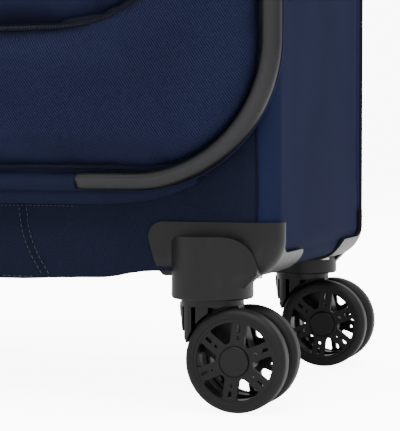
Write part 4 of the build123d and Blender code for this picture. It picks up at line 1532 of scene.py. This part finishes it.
# ------------------------------------------------------------------ studio
@dataclass
class Studio:
    """Floor, lights and camera."""

    azimuth: float = 18.5
    tilt: float = 2.3813
    lens: float = 129.55
    sensor: float = 36.0
    eye: float = 0.150
    away: Pair = (0.2795, -0.8584)
    world_strength: float = 1.7
    seen_world: float = 5.5
    floor_glow: float = 8.0

    def camera(self) -> None:
        """Camera low on the right, looking at the front right caster from a metre away."""
        data = bpy.data.cameras.new("camera")
        data.sensor_width = self.sensor
        data.lens = self.lens
        data.clip_start, data.clip_end = 0.05, 50.0
        camera = bpy.data.objects.new("camera", data)
        bpy.context.scene.collection.objects.link(camera)
        swivel = joint_place("swivel_front_right")
        camera.location = (swivel[0] + self.away[0], swivel[1] + self.away[1], self.eye)
        camera.rotation_euler = (math.pi / 2 - math.radians(self.tilt), 0.0, math.radians(self.azimuth))
        bpy.context.scene.camera = camera

    def light(self, name: str, place: Point, aim: Point, size: float, power: float) -> None:
        """Adds a square soft light at a place, turned to an aim."""
        data = bpy.data.lights.new(name, "AREA")
        data.size, data.energy = size, power
        lamp = bpy.data.objects.new(name, data)
        bpy.context.scene.collection.objects.link(lamp)
        lamp.location = place
        direction = np.array(aim) - np.array(place)
        flat = math.hypot(direction[0], direction[1])
        turn = math.atan2(direction[1], direction[0]) - math.pi / 2
        lamp.rotation_euler = (math.atan2(flat, -direction[2]), 0.0, turn)

    def build(self) -> None:
        """Makes floor, world and lights; floor and world look brighter to the camera than they shine."""
        mesh = bpy.data.meshes.new("floor")
        mesh.from_pydata([(-6, -6, 0), (6, -6, 0), (6, 6, 0), (-6, 6, 0)], [], [(0, 1, 2, 3)])
        floor = bpy.data.objects.new("floor", mesh)
        bpy.context.scene.collection.objects.link(floor)
        graph = Graph("floor")
        speck = graph.noise(3.0, 2.0)
        seen = graph.node("ShaderNodeLightPath", {}, {}, "Is Camera Ray")
        mesh.materials.append(
            graph.finish(
                Base_Color=graph.mix(speck, (0.95, 0.95, 0.95), (0.97, 0.97, 0.97)),
                Roughness=0.9,
                Emission_Color=graph.mix(seen, (0.0, 0.0, 0.0), (1.0, 1.0, 1.0)),
                Emission_Strength=self.floor_glow,
            )
        )
        world = bpy.data.worlds.new("studio")
        bpy.context.scene.world = world
        world.use_nodes = True
        nodes, links = world.node_tree.nodes, world.node_tree.links
        seen, shade = nodes.new("ShaderNodeLightPath"), nodes.new("ShaderNodeMix")
        shade.data_type = "RGBA"
        shade.inputs[6].default_value = (1.0, 1.0, 1.0, 1.0)
        shade.inputs[7].default_value = (self.seen_world, self.seen_world, self.seen_world, 1.0)
        links.new(seen.outputs["Is Camera Ray"], shade.inputs["Factor"])
        links.new(shade.outputs[2], nodes["Background"].inputs["Color"])
        nodes["Background"].inputs["Strength"].default_value = self.world_strength
        self.light("key", (1.2, -1.9, 1.7), (0.1, 0.0, 0.25), 1.2, 22.0)
        self.light("top", (0.2, -0.7, 3.0), (0.1, -0.4, 0.0), 3.0, 230.0)
        self.light("back", (-1.0, 1.8, 1.8), (0.0, 0.0, 0.4), 1.6, 14.0)


def main() -> None:
    """Builds the classes in order and reports each piece."""
    logging.basicConfig(level=logging.INFO, format="%(message)s")
    palette = Palette()
    studio = Studio()
    studio.camera()
    studio.build()
    FabricBody(palette).build()
    Lid(palette).build()
    side_z = float(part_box("side_handle")[0][2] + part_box("side_handle")[1][2]) / 2
    top_y = float(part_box("top_handle")[0][1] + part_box("top_handle")[1][1]) / 2
    right, up = (1.0, 0.0, 0.0), (0.0, 0.0, 1.0)
    CarryHandle(palette, "top_handle", (0.0, top_y, SHELL_Z1), right, up, 13.0 * MM, 6.0 * MM).build()
    left = (-1.0, 0.0, 0.0)
    CarryHandle(palette, "side_handle", (-HALF_W, 0.0, side_z), up, left, 7.2 * MM, 4.4 * MM).build()
    HardParts(palette).build()


if __name__ == "__main__":
    main()
